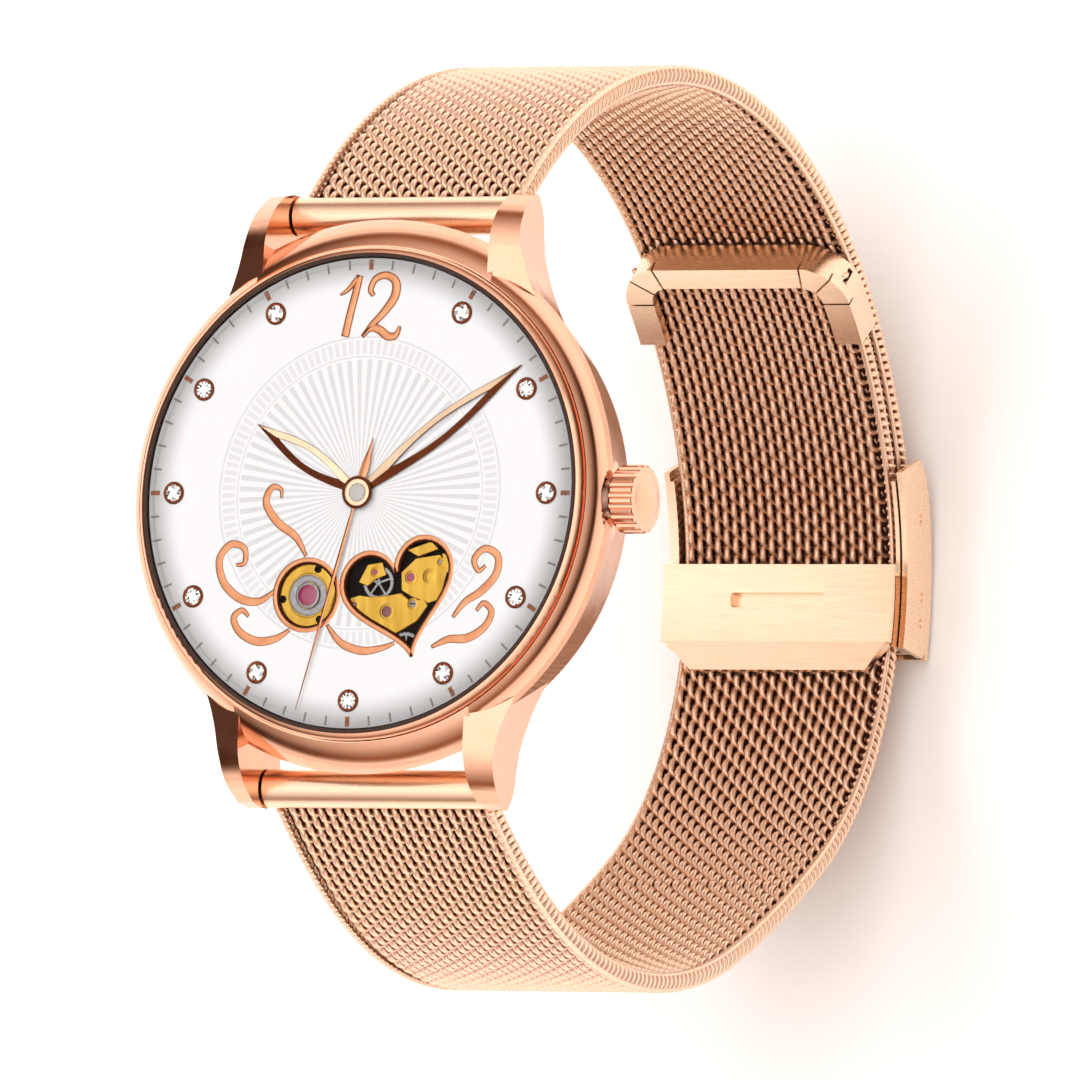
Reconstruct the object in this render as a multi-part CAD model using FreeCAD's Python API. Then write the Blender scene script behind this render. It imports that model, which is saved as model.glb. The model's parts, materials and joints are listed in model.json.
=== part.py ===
import FreeCAD, Part
import math
import os

from FreeCAD import Vector

# A round smartwatch on a woven-wire (Milanese) band, closed as it is worn.
# +Z is out of the dial, +X is 3 o'clock (the crown's side) and +Y is 12 o'clock.
# The origin is the middle of the sensor window's flat face, which rests on the wrist.
# Millimetres and degrees throughout.

os.makedirs("parts", exist_ok=True)

# ---- Clearances
slip = 0.05  # running fit of a pin or shaft in its hole, each side
side_gap = 0.12  # between flat sides that pass each other
seat_gap = 0.05  # round a piece that sits in a pocket

# ---- Case, from its axis and from the wrist up
case_radius = 20.6  # at the ridge, the widest line of the case
case_foot_radius = 18.7  # where the flank ends under the case
case_foot_z = 1.3
ridge_z = 7.8
ridge_bevel = 0.4  # height of the narrow bevel above the ridge
shoulder_radius = 19.27  # inner edge of the shoulder, beside the rim
shoulder_z = 9.8
hood_radius = case_radius + 0.9  # the case reaches out this far between its lugs
cavity_radius = 16.8
display_seat_z = 9.0
back_seat_z = 2.0
back_radius = 18.1
boss_circle = 15.4  # circle of the four screw bosses
boss_radius = 2.0
boss_top_z = 5.8

# ---- Rim, glass and display
rim_outer_radius = 19.12
rim_inner_radius = 18.62
rim_foot_z = 9.65
rim_top_z = 10.33
rim_groove = 0.15  # the dark line between the rim and the shoulder
rim_fall = 0.36  # the rim's top slopes down this much to its outer edge
gasket_width = 0.3
glass_bottom_z = 10.68
glass_thickness = 0.35
glass_recess_radius = 17.7  # the room for the hands under the glass
display_thickness = 0.6
display_radius = 18.5
face_thickness = 0.6
face_radius = 18.2

face_z = display_seat_z + display_thickness
face_top_z = face_z + face_thickness

# ---- Hands, drawn by the display just above the face
hour_hand_length = 10.5
minute_hand_length = 16.7
second_hand_length = 17.4
second_hand_tail = 4.4
hour_hand_turn = 300.4  # clockwise from 12
minute_hand_turn = 53.8
second_hand_turn = 194.6
hand_thickness = 0.08
hand_gap = 0.04
hand_width = 2.0
hand_opening = 1.0
hand_boss_radius = 1.05
post_radius = 0.35
hub_radius = 1.27

# ---- Lugs and spring bars
strap_width = 19.2
lug_inner = strap_width / 2 + 0.1
lug_width = 2.3  # across the top of a lug
lug_draft = 1.4  # how much narrower a lug is at its foot
bar_y = case_radius + 1.65
bar_z = 4.0
bar_radius = 0.75
bar_pin_radius = 0.45
bar_pin_depth = 0.75  # how far a spring-bar pin enters its lug
tube_radius = 1.5
lug_top_z = 9.7
lug_slope = 0.4  # fall of a lug's top for each millimetre outward
lug_tip_reach = 1.6  # from the spring bar's axis to the lug's tip
lug_root_depth = 0.3  # how far the lug's outline ends inside the case
lug_under_z = 2.3

# ---- Crown
crown_z = 6.0
crown_radius = 2.65
crown_start_x = case_radius - 0.15
crown_rim_length = 2.1
crown_cap_radius = 1.98
crown_cap_height = 0.6
crown_flutes = 20
crown_flute_radius = 0.3
crown_travel = 0.6
scoop_radius = crown_radius + 0.25
scoop_floor_x = crown_start_x - crown_travel - 0.1
stem_radius = 0.9
crown_tube_radius = 1.5
crown_tube_lip = 0.4

# ---- Inside the case
window_radius = 8.0
window_flange_radius = 9.0
window_step_z = 0.45
window_flange_z = 2.6
window_flat_radius = 6.6
back_rise_z = 0.95  # the back plate's outer face at its edge
contact_radius = 1.0
contact_pitch = 6.0
contact_y = -13.0
insulator_radius = 1.5
battery_length = 20.0
battery_width = 17.0
battery_height = 3.2
board_radius = cavity_radius - 0.3
board_thickness = 0.6
tray_thickness = 0.4

# ---- Band, a closed loop of arcs in the Y-Z plane
mesh_thickness = 1.7
mesh_half = mesh_thickness / 2
layer_pitch = mesh_thickness + 0.55  # between the middles of the long strap and the short one
lower_heading = -131.5  # the way the long strap leaves its bar, from +Y
lower_bend_radius = 59.15
lower_bend_sweep = 11.0
front_radius = 38.3
front_sweep = 56.0
heel_radius = 95.0
heel_sweep = 10.0
clasp_bend_radius = 27.0
clasp_bend_sweep = 75.6
tail_sweep = 30.9

# ---- Clasp, in degrees round the bend that it sits on
clasp_low = -7.5
clasp_high = 23.6
web_thickness = 0.45
web_gap = 0.2
web_high = 15.5
rail_thickness = 0.35
rail_gap = 0.08
ear_thickness = 0.45
ear_gap = 0.1
cover_thickness = 0.5
cover_gap = 0.12
cover_high = 17.3
plate_half_width = strap_width / 2 + 0.6
plate_thickness = 1.6
plate_skin = 0.45
plate_gap = 0.3
plate_high = 7.3
plate_pin_angle = 6.5
plate_pin_radius = 0.35
lip_low = -12.2
slot_length = 8.4
slot_width = 1.2
slot_depth = 0.9
end_pin_angle = 19.5
end_pin_radius = 0.5
rivet_radius = 0.42
rivet_angles = [14.3, 1.9, -2.2]
latch_angle = clasp_low + 1.1
latch_radius = 0.4

# ---- Tip of the long strap
tip_length = 8.0
tip_bar = 2.2
tip_arm = 2.3
tip_corner = 4.0
tip_inner_corner = 1.7
tip_inner_wall = 0.9
tip_outer_wall = 0.4
tip_side = 0.25
tip_slit = 0.16  # width of the slits that let the tip bend round its corners


def disc(radius, low, high, x=0.0, y=0.0):
    return Part.makeCylinder(radius, high - low, Vector(x, y, low))


def ring(outer, inner, low, high):
    return disc(outer, low, high).cut(disc(inner, low - 1, high + 1))


def block(low, high):
    size = [b - a for a, b in zip(low, high)]
    return Part.makeBox(*size, Vector(*low))


def rod(radius, low_x, high_x, y, z):
    return Part.makeCylinder(radius, high_x - low_x, Vector(low_x, y, z), Vector(1, 0, 0))


def group(solids):
    return Part.makeCompound(solids)


def joined(solids):
    whole = solids[0]
    for solid in solids[1:]:
        whole = whole.fuse(solid)
    return whole.removeSplitter()


def without(solid, cutters):
    for cutter in cutters:
        solid = solid.cut(cutter)
    return solid


def outline(points):
    """A closed wire. A triple (mid, end) after a point bends the edge to it through mid."""
    edges = []
    here = points[0]
    for step in points[1:] + [points[0]]:
        if isinstance(step, tuple):
            mid, end = step
            edges.append(Part.Arc(here, mid, end).toShape())
            here = end
        else:
            edges.append(Part.makeLine(here, step))
            here = step
    return Part.Wire(edges)


def spun(points, axis=Vector(0, 0, 1), base=Vector(0, 0, 0)):
    face = Part.Face(outline(points))
    return face.revolve(base, axis, 360)


def flat(x, z):
    return Vector(x, 0, z)


def quarters(solid):
    return [solid.rotated(Vector(0, 0, 0), Vector(0, 0, 1), 90 * k) for k in range(4)]


def mirrored_y(solid):
    return solid.mirror(Vector(0, 0, 0), Vector(0, 1, 0))


def mirrored_x(solid):
    return solid.mirror(Vector(0, 0, 0), Vector(1, 0, 0))


def both_sides(solid):
    return [solid, mirrored_x(solid)]


# ---------------------------------------------------------------- the band's path
# A point of the band is given by its heading: centre + radius * (sin, -cos) of the heading,
# so heading 0 is the bottom of an arc and the band runs anticlockwise seen from 3 o'clock.


class Arc:
    def __init__(self, centre, radius, start, end):
        self.centre = centre
        self.radius = radius
        self.start = start
        self.end = end

    def at(self, heading, out=0.0):
        a = math.radians(heading)
        r = self.radius + out
        return (self.centre[0] + r * math.sin(a), self.centre[1] - r * math.cos(a))


def arc_from(point, heading, radius, sweep):
    a = math.radians(heading)
    centre = (point[0] - radius * math.sin(a), point[1] + radius * math.cos(a))
    return Arc(centre, radius, heading, heading + sweep)


def arc_to(point, heading, target):
    """The arc that leaves point along heading and ends at target."""
    a = math.radians(heading)
    along = (target[0] - point[0]) * math.cos(a) + (target[1] - point[1]) * math.sin(a)
    across = (target[1] - point[1]) * math.cos(a) - (target[0] - point[0]) * math.sin(a)
    radius = (along**2 + across**2) / (2 * across)
    return arc_from(point, heading, radius, 2 * math.degrees(math.atan2(across, along)))


def long_strap_arcs():
    arcs = []
    point = (-bar_y, bar_z)
    heading = lower_heading
    bends = [
        (lower_bend_radius, lower_bend_sweep),
        (front_radius, front_sweep),
        (heel_radius, heel_sweep),
        (clasp_bend_radius, clasp_bend_sweep),
    ]
    for radius, sweep in bends:
        arcs.append(arc_from(point, heading, radius, sweep))
        heading += sweep
        point = arcs[-1].at(heading)
    return arcs


long_arcs = long_strap_arcs()
bend = long_arcs[-1]
short_arc = arc_to(bend.at(bend.end, layer_pitch), bend.end, (bar_y, bar_z))
tail = Arc(short_arc.centre, short_arc.radius - layer_pitch, bend.end, bend.end + tail_sweep)
long_arcs.append(tail)
short_bend = Arc(bend.centre, bend.radius + layer_pitch, end_pin_angle + 1.0, bend.end)
short_arcs = [short_bend, short_arc]


def ribbon(arcs, inner, outer, low_x, high_x):
    """A curved slab between two offsets of a run of arcs."""
    edges = []
    corners = []
    for out, run in ((outer, arcs), (inner, arcs[::-1])):
        for arc in run:
            first, last = (arc.start, arc.end) if out == outer else (arc.end, arc.start)
            ends = [Vector(low_x, *arc.at(h, out)) for h in (first, (first + last) / 2, last)]
            edges.append(Part.Arc(*ends).toShape())
            corners.append((ends[0], ends[2]))
    count = len(arcs)
    edges.insert(count, Part.makeLine(corners[count - 1][1], corners[count][0]))
    edges.append(Part.makeLine(corners[-1][1], corners[0][0]))
    return Part.Face(Part.Wire(edges)).extrude(Vector(high_x - low_x, 0, 0))


def sector(radius_in, radius_out, low, high, low_x, high_x, centre=bend.centre):
    """A piece of curved plate round the clasp's bend."""
    return ribbon([Arc(centre, 0.0, low, high)], radius_in, radius_out, low_x, high_x)


def bend_rod(radius, at_radius, angle, low_x, high_x):
    y, z = Arc(bend.centre, at_radius, 0, 0).at(angle)
    return rod(radius, low_x, high_x, y, z)


# ---------------------------------------------------------------- case


def lug_plan(level, width, root_radius):
    """A lug's outline seen from above: it flares back to just inside the round of the case."""
    tip_y = bar_y + lug_tip_reach + 1
    root = math.radians(37)
    return outline(
        [
            Vector(lug_inner, 12, level),
            Vector(lug_inner, tip_y, level),
            Vector(lug_inner + width, tip_y, level),
            Vector(lug_inner + width, bar_y - 1.6, level),
            (
                Vector(lug_inner + width + 0.9, bar_y - 5.3, level),
                Vector(root_radius * math.cos(root), root_radius * math.sin(root), level),
            ),
            Vector(13.5, 10, level),
        ]
    )


def lug():
    """One lug at 1 o'clock: a drafted plan, under a sloping top and over a curved foot."""
    tip_y = bar_y + lug_tip_reach
    foot = lug_plan(case_foot_z, lug_width - lug_draft, case_foot_radius - lug_root_depth)
    head = lug_plan(lug_top_z + 0.3, lug_width, case_radius - lug_root_depth)
    body = Part.makeLoft([foot, head], True)
    top = outline(
        [
            Vector(lug_inner, 9.0, lug_top_z),
            Vector(lug_inner, bar_y - 3.0, lug_top_z - 0.1),
            (
                Vector(lug_inner, bar_y - 0.3, lug_top_z - 1.2),
                Vector(lug_inner, bar_y + 0.4, lug_top_z - 1.9),
            ),
            Vector(lug_inner, tip_y - 0.3, bar_z + 2.5),
            Vector(lug_inner, tip_y, bar_z + 1.0),
            Vector(lug_inner, tip_y, -2),
            Vector(lug_inner, 9.0, -2),
        ]
    )
    under = outline(
        [
            Vector(lug_inner, 9.0, lug_under_z),
            Vector(lug_inner, bar_y - 3.0, lug_under_z + 0.2),
            (
                Vector(lug_inner, bar_y + 0.2, lug_under_z + 0.45),
                Vector(lug_inner, tip_y + 0.1, bar_z + 0.3),
            ),
            Vector(lug_inner, tip_y + 0.1, 15),
            Vector(lug_inner, 9.0, 15),
        ]
    )
    under_top = Part.Face(top).extrude(Vector(12, 0, -12 * lug_slope))
    over_foot = Part.Face(under).extrude(Vector(12, 0, 0))
    return body.common(under_top).common(over_foot)


def case_blank(radius):
    """The turned blank of the case, with its ridge at radius."""
    bevel_z = ridge_z + ridge_bevel
    bevel_radius = radius - 0.25
    middle = ((bevel_radius + shoulder_radius) / 2 + 0.14, (bevel_z + shoulder_z) / 2 + 0.14)
    return spun(
        [
            flat(0, case_foot_z),
            flat(case_foot_radius, case_foot_z),
            flat(radius, ridge_z),
            flat(bevel_radius, bevel_z),
            (flat(*middle), flat(shoulder_radius, shoulder_z)),
            flat(0, shoulder_z),
        ]
    )


def mid_case():
    hood_half = lug_inner + 0.4
    hood = case_blank(hood_radius)
    hood = hood.common(block((-hood_half, -30, 0), (hood_half, 30, 12)))
    shell = joined([case_blank(case_radius), hood])
    right_lugs = [lug(), mirrored_y(lug())]
    lugs = right_lugs + [mirrored_x(one) for one in right_lugs]
    scoop = Part.makeCylinder(scoop_radius, 5, Vector(scoop_floor_x, 0, crown_z), Vector(1, 0, 0))
    crown_bore = rod(crown_tube_radius, cavity_radius - 2, scoop_floor_x + 1, 0, crown_z)
    bar_hole = lug_inner + bar_pin_depth + 0.1
    bar_holes = [
        rod(bar_pin_radius + slip, -bar_hole, bar_hole, end * bar_y, bar_z) for end in (-1, 1)
    ]
    cutters = [
        disc(cavity_radius, back_seat_z - 1, display_seat_z + 1),
        disc(rim_outer_radius + seat_gap, display_seat_z, shoulder_z + 1),
        disc(rim_outer_radius + rim_groove, rim_foot_z - 0.1, shoulder_z + 1),
        disc(back_radius, case_foot_z - 1, back_seat_z),
        ring(back_radius - 0.5, cavity_radius + 0.35, back_seat_z - 0.5, back_seat_z + 0.4),
        scoop,
        crown_bore,
    ]
    shell = without(joined([shell] + lugs), cutters + bar_holes)
    boss = disc(boss_radius, back_seat_z, boss_top_z, boss_circle, 0)
    boss = boss.common(disc(cavity_radius + 0.2, 0, 12))
    boss = boss.cut(disc(0.55, back_seat_z - 1, boss_top_z - 0.8, boss_circle, 0))
    boss = boss.rotated(Vector(0, 0, 0), Vector(0, 0, 1), 45)
    shell = joined([shell] + quarters(boss))
    groove = ring(back_radius - 0.5, cavity_radius + 0.35, back_seat_z - 0.5, back_seat_z + 0.4)
    return shell.cut(groove)


def bezel_ring():
    outer_top = rim_top_z - rim_fall
    middle = (rim_outer_radius + rim_inner_radius) / 2
    return spun(
        [
            flat(rim_inner_radius, rim_foot_z),
            flat(rim_outer_radius, rim_foot_z),
            flat(rim_outer_radius, outer_top),
            (flat(middle + 0.03, rim_top_z - 0.12), flat(rim_inner_radius, rim_top_z)),
        ]
    )


def cover_glass():
    """A clear cap: its skirt stands on the dial and its top leaves room for the hands."""
    radius = rim_inner_radius - gasket_width - 0.02
    top = glass_bottom_z + glass_thickness
    return spun(
        [
            flat(0, glass_bottom_z),
            flat(glass_recess_radius, glass_bottom_z),
            flat(glass_recess_radius, face_top_z + 0.02),
            flat(radius, face_top_z + 0.02),
            flat(radius, top - 0.2),
            flat(radius - 0.2, top),
            flat(0, top),
        ]
    )


def display_flex():
    """The display's ribbon, folded down onto the main board."""
    top = display_seat_z
    foot = board_top_z
    fold_y = -15.6
    thick = 0.15
    return joined(
        [
            block((-4, fold_y, top - thick), (4, fold_y + 3.5, top)),
            block((-4, fold_y, foot), (4, fold_y + thick, top)),
            block((-4, fold_y, foot), (4, fold_y + 3.5, foot + thick)),
        ]
    )


# ---------------------------------------------------------------- hands


def leaf(length, start, width):
    """A slim leaf from start to length along +Y, width at its widest, at z = 0."""
    widest = start + (length - start) * 0.42
    flank_up = (Vector(width / 2, widest, 0), Vector(0, length, 0))
    flank_down = (Vector(-width / 2, widest, 0), Vector(0, start, 0))
    edges = [
        Part.Arc(Vector(0, start, 0), *flank_up).toShape(),
        Part.Arc(Vector(0, length, 0), *flank_down).toShape(),
    ]
    return Part.Face(Part.Wire(edges))


def hand_blank(level, parts_above):
    height = Vector(0, 0, hand_thickness)
    boss = disc(hand_boss_radius, 0, hand_thickness)
    solid = joined([boss] + [face.extrude(height) for face in parts_above])
    solid = solid.cut(disc(post_radius + slip, -1, 1))
    solid.translate(Vector(0, 0, level))
    return solid


def leaf_hand(length, turn, level):
    skeleton = leaf(length, 0.3, hand_width).cut(leaf(length * 0.86, length * 0.22, hand_opening))
    solid = hand_blank(level, [skeleton])
    return solid.rotated(Vector(0, 0, 0), Vector(0, 0, 1), -turn)


def second_hand(level):
    needle = leaf(second_hand_length, 0.0, 0.42)
    counter = leaf(second_hand_tail, 0.0, 0.75).rotated(Vector(0, 0, 0), Vector(0, 0, 1), 180)
    solid = hand_blank(level, [needle, counter])
    return solid.rotated(Vector(0, 0, 0), Vector(0, 0, 1), -second_hand_turn)


# ---------------------------------------------------------------- crown, all turned about +X


def crown_ring(points):
    """Points are (x, radius) pairs or arcs of them, turned about the crown's axis."""
    return spun(points, Vector(1, 0, 0), Vector(0, 0, crown_z))


def at_crown(x, radius):
    return Vector(x, 0, crown_z + radius)


def crown_knob():
    start = crown_start_x
    end = start + crown_rim_length
    tooth = 0.25
    knob = crown_ring(
        [
            at_crown(start, stem_radius + slip),
            at_crown(start, crown_radius - tooth),
            at_crown(start + tooth, crown_radius),
            at_crown(end - tooth, crown_radius),
            (at_crown(end - 0.06, crown_radius - 0.1), at_crown(end, crown_radius - tooth)),
            at_crown(end, stem_radius + slip),
        ]
    )
    tube_clearance = rod(crown_tube_radius + 0.1, start - 1, start + 1.2, 0, crown_z)
    head_recess = rod(1.3, start + 1.55, end + 1, 0, crown_z)
    flutes = []
    for k in range(crown_flutes):
        a = 2 * math.pi * k / crown_flutes
        y = (crown_radius + 0.08) * math.sin(a)
        z = crown_z + (crown_radius + 0.08) * math.cos(a)
        flutes.append(rod(crown_flute_radius, start - 1, end + 1, y, z))
    return without(knob, [tube_clearance, head_recess] + flutes)


def crown_cap():
    start = crown_start_x + crown_rim_length
    dome = (crown_cap_radius**2 + crown_cap_height**2) / (2 * crown_cap_height)
    half_way = crown_cap_radius / 2
    rise = crown_cap_height - dome + math.sqrt(dome**2 - half_way**2)
    return crown_ring(
        [
            at_crown(start - 0.2, 0),
            at_crown(start - 0.2, 1.3),
            at_crown(start, 1.3),
            at_crown(start, crown_cap_radius),
            (at_crown(start + rise, half_way), at_crown(start + crown_cap_height, 0)),
        ]
    )


def crown_stem():
    head_x = crown_start_x + 1.6
    stem = joined(
        [
            rod(stem_radius, stem_inner_x, head_x, 0, crown_z),
            rod(1.2, head_x, head_x + 0.25, 0, crown_z),
        ]
    )
    seal_groove = rod(2, seal_x, seal_x + seal_width, 0, crown_z)
    seal_groove = seal_groove.cut(rod(0.6, seal_x - 1, seal_x + 2, 0, crown_z))
    clip_groove = rod(2, clip_x, clip_x + clip_width, 0, crown_z)
    clip_groove = clip_groove.cut(rod(0.6, clip_x - 1, clip_x + 2, 0, crown_z))
    return without(stem, [seal_groove, clip_groove])


def crown_washer(x, width, inner, outer):
    hole = rod(inner, x - 1, x + width + 1, 0, crown_z)
    return rod(outer, x, x + width, 0, crown_z).cut(hole)


seal_x = crown_start_x - 1.9
seal_width = 0.5
clip_width = 0.3
tube_end_x = scoop_floor_x + crown_tube_lip
tube_start_x = cavity_radius - 0.7
clip_x = tube_start_x - 0.05 - clip_width
stem_inner_x = clip_x - 0.5
switch_x = stem_inner_x - crown_travel - 0.2  # the face that the stem presses towards

# ---------------------------------------------------------------- inside the case

sensor_board_z = window_flange_z + 0.1
sensor_board_top_z = sensor_board_z + 0.6
battery_z = sensor_board_top_z + 0.2
battery_top_z = battery_z + battery_height
tray_z = battery_top_z + 0.1
board_z = tray_z + tray_thickness
board_top_z = board_z + board_thickness
switch_board_x = switch_x - 2.6


def case_back():
    plate = spun(
        [
            flat(0, window_step_z),
            flat(window_radius + 0.6, window_step_z),
            flat(back_radius - 1.4, back_rise_z),
            flat(back_radius - seat_gap, case_foot_z),
            flat(back_radius - seat_gap, back_seat_z),
            flat(0, back_seat_z),
        ]
    )
    window_hole = disc(window_radius + seat_gap, -1, 3)
    contacts = [
        disc(insulator_radius, -1, 4, side * contact_pitch / 2, contact_y) for side in (-1, 1)
    ]
    screw_hole = disc(0.75, -1, 4, boss_circle, 0).fuse(disc(1.35, -1, 1.45, boss_circle, 0))
    screw_hole = screw_hole.rotated(Vector(0, 0, 0), Vector(0, 0, 1), 45)
    return without(plate, [window_hole] + contacts + quarters(screw_hole))


def case_screw():
    head = disc(1.25, back_rise_z + 0.05, 1.45, boss_circle, 0)
    cross = joined(
        [
            block((boss_circle - 0.7, -0.12, 0), (boss_circle + 0.7, 0.12, 1.2)),
            block((boss_circle - 0.12, -0.7, 0), (boss_circle + 0.12, 0.7, 1.2)),
        ]
    )
    shank = disc(0.5, 1.45, boss_top_z - 1.0, boss_circle, 0)
    return head.cut(cross).fuse(shank).rotated(Vector(0, 0, 0), Vector(0, 0, 1), 45)


def sensor_window():
    window = spun(
        [
            flat(0, 0),
            flat(window_flat_radius, 0),
            (flat(window_radius - 0.35, 0.12), flat(window_radius, window_step_z)),
            flat(window_radius, back_seat_z),
            flat(window_flange_radius, back_seat_z),
            flat(window_flange_radius, window_flange_z),
            flat(0, window_flange_z),
        ]
    )
    return window.cut(disc(6.2, 1.2, 4))


def optical_sensors():
    """Two light sources on the middle line and two detectors beside them."""
    top = sensor_board_z
    sources = [block((-0.8, s - 0.8, top - 0.7), (0.8, s + 0.8, top)) for s in (-1.4, 1.4)]
    detectors = [block((s - 1.3, -1.3, top - 0.8), (s + 1.3, 1.3, top)) for s in (-4.0, 4.0)]
    return group(sources + detectors)


def battery():
    half_length = battery_length / 2
    half_width = battery_width / 2
    cell = block((-half_length, -half_width, battery_z), (half_length, half_width, battery_top_z))
    upright = [e for e in cell.Edges if abs(e.tangentAt(e.FirstParameter).z) > 0.9]
    return cell.makeFillet(1.4, upright)


def battery_tray():
    plate = disc(board_radius, tray_z, board_z - 0.02)
    rib_y = battery_width / 2 + 0.2
    ribs = []
    for side in (-1, 1):
        low, high = sorted((side * rib_y, side * (rib_y + 0.6)))
        ribs.append(block((-6.5, low, battery_z), (6.5, high, tray_z + 0.2)))
    return joined([plate] + ribs).cut(crown_bay())


def crown_bay():
    """The room that the tray and the board leave for the crown's switch."""
    return block((switch_board_x - 0.1, -3.6, 0), (case_radius, 3.6, 12))


def main_board():
    board = disc(board_radius, board_z, board_top_z)
    notch = block((-5, -board_radius - 1, board_z - 1), (5, -15.75, board_top_z + 1))
    return without(board, [notch, crown_bay()])


def board_chips():
    low = board_top_z
    chips = [
        block((-3.5, -3.5, low), (3.5, 3.5, low + 0.75)),
        block((6, 1, low), (10, 5, low + 0.7)),
        block((6, -5, low), (9, -2, low + 0.6)),
        block((-10, 2, low), (-7.5, 4.5, low + 0.7)),
        block((-11, -4, low), (-8.5, -2, low + 0.5)),
    ]
    return group(chips)


def vibration_motor():
    return disc(3.0, battery_z, battery_z + 2.7, -battery_length / 2 - 3.4, 0)


# ---------------------------------------------------------------- straps


def spring_bar_tube(side):
    half_length = strap_width / 2 - 0.3
    tube = rod(bar_radius, -half_length, half_length, side * bar_y, bar_z)
    return tube.cut(rod(bar_pin_radius + slip, -half_length - 1, half_length + 1, side * bar_y, bar_z))


def spring_bar_pin(side_y):
    start = strap_width / 2 - 2.6
    return rod(bar_pin_radius, start, lug_inner + bar_pin_depth, side_y * bar_y, bar_z)


def bar_spring(side):
    """The coil spring between a bar's two pins."""
    half_length = strap_width / 2 - 2.7
    wire = 0.09
    turns = Part.makeHelix(1.2, 2 * half_length - 2 * wire, bar_pin_radius - wire - 0.02)
    section = Part.Wire(Part.makeCircle(wire, Vector(bar_pin_radius - wire - 0.02, 0, 0), Vector(0, 1, 0.35)))
    spring = Part.Wire(turns).makePipeShell([section], True, True)
    spring.rotate(Vector(0, 0, 0), Vector(0, 1, 0), 90)
    spring.translate(Vector(-half_length + wire, side * bar_y, bar_z))
    return spring


def strap_tube(side):
    half_length = strap_width / 2 - 0.05
    tube = rod(tube_radius, -half_length, half_length, side * bar_y, bar_z)
    return tube.cut(rod(bar_radius + slip, -half_length - 1, half_length + 1, side * bar_y, bar_z))


def mesh_strap(arcs, side):
    half_width = strap_width / 2
    slab = ribbon(arcs, -mesh_half, mesh_half, -half_width, half_width)
    return slab.cut(rod(tube_radius, -half_width - 1, half_width + 1, side * bar_y, bar_z))


def tail_cut(length):
    """The heading on the tail that is length before its end."""
    return tail.end - math.degrees(length / tail.radius)


def upper_mesh():
    return mesh_strap(short_arcs, 1)


def lower_mesh():
    mesh_end = Arc(tail.centre, tail.radius, tail.start, tail_cut(tip_bar))
    return mesh_strap(long_arcs[:-1] + [mesh_end], -1)


def rounded_end(half_width, start, corner, depth):
    """A plate's outline seen along Z: y runs from start to depth, rounded at the far end."""
    low = corner * (1 - math.sqrt(0.5))
    return outline(
        [
            Vector(-half_width, start, -50),
            Vector(half_width, start, -50),
            Vector(half_width, depth - corner, -50),
            (
                Vector(half_width - low, depth - low, -50),
                Vector(half_width - corner, depth, -50),
            ),
            Vector(corner - half_width, depth, -50),
            (
                Vector(low - half_width, depth - low, -50),
                Vector(-half_width, depth - corner, -50),
            ),
        ]
    )


def strap_tip():
    """The U-shaped end piece: a curved plate, trimmed to a rounded plan and hollowed."""
    half_width = strap_width / 2 + tip_side
    start = tail_cut(tip_length)
    inner = tail.radius - mesh_half - tip_inner_wall
    outer = tail.radius + mesh_half + tip_outer_wall
    plate = sector(inner, outer, start, tail.end, -half_width, half_width, tail.centre)
    middle = (start + tail.end) / 2
    y, z = tail.at(middle)
    far = tip_length / 2
    plan = Part.Face(rounded_end(half_width, -far - 2, tip_corner, far - 0.02))
    trim = plan.extrude(Vector(0, 0, 100))
    window_half = half_width - tip_arm
    hole = Part.Face(rounded_end(window_half, -far - 3, tip_inner_corner, far - tip_bar))
    window = hole.extrude(Vector(0, 0, 100))
    slits = both_sides(group(tip_slits(window_half, far - tip_bar)))
    for solid in [trim, window] + slits:
        solid.rotate(Vector(0, 0, 0), Vector(1, 0, 0), middle)
        solid.translate(Vector(0, y, z))
    pocket = sector(
        tail.radius - mesh_half,
        tail.radius + mesh_half,
        start - 2,
        tail_cut(tip_bar),
        -strap_width / 2,
        strap_width / 2,
        tail.centre,
    )
    return without(plate.common(trim), [window, pocket] + slits)


def tip_slits(window_half, window_end):
    """Three slits that fan out from one inner corner of the tip, through its inner wall."""
    low = mesh_half + 0.1
    half = tip_slit / 2
    corner_x = window_half - tip_inner_corner
    corner_y = window_end - tip_inner_corner
    slit = block((corner_x, corner_y - half, low), (corner_x + 8, corner_y + half, low + 6))
    base = Vector(corner_x, corner_y, 0)
    return [slit.rotated(base, Vector(0, 0, 1), turn) for turn in (0, 40, 80)]


# ---------------------------------------------------------------- clasp

web_inner = bend.radius + mesh_half + web_gap
web_outer = web_inner + web_thickness
rail_inner = bend.radius - mesh_half - 0.2
rail_outer = web_outer - 0.15
rail_low_x = strap_width / 2 + rail_gap
rail_high_x = rail_low_x + rail_thickness
ear_low_x = rail_high_x + ear_gap
ear_high_x = ear_low_x + ear_thickness
hole_reach = ear_high_x + 1
short_outer = short_bend.radius + mesh_half
cover_inner = short_outer + cover_gap
cover_outer = cover_inner + cover_thickness
plate_outer = bend.radius - mesh_half - plate_gap
plate_inner = plate_outer - plate_thickness
plate_pin_at = plate_outer - 0.5


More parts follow.
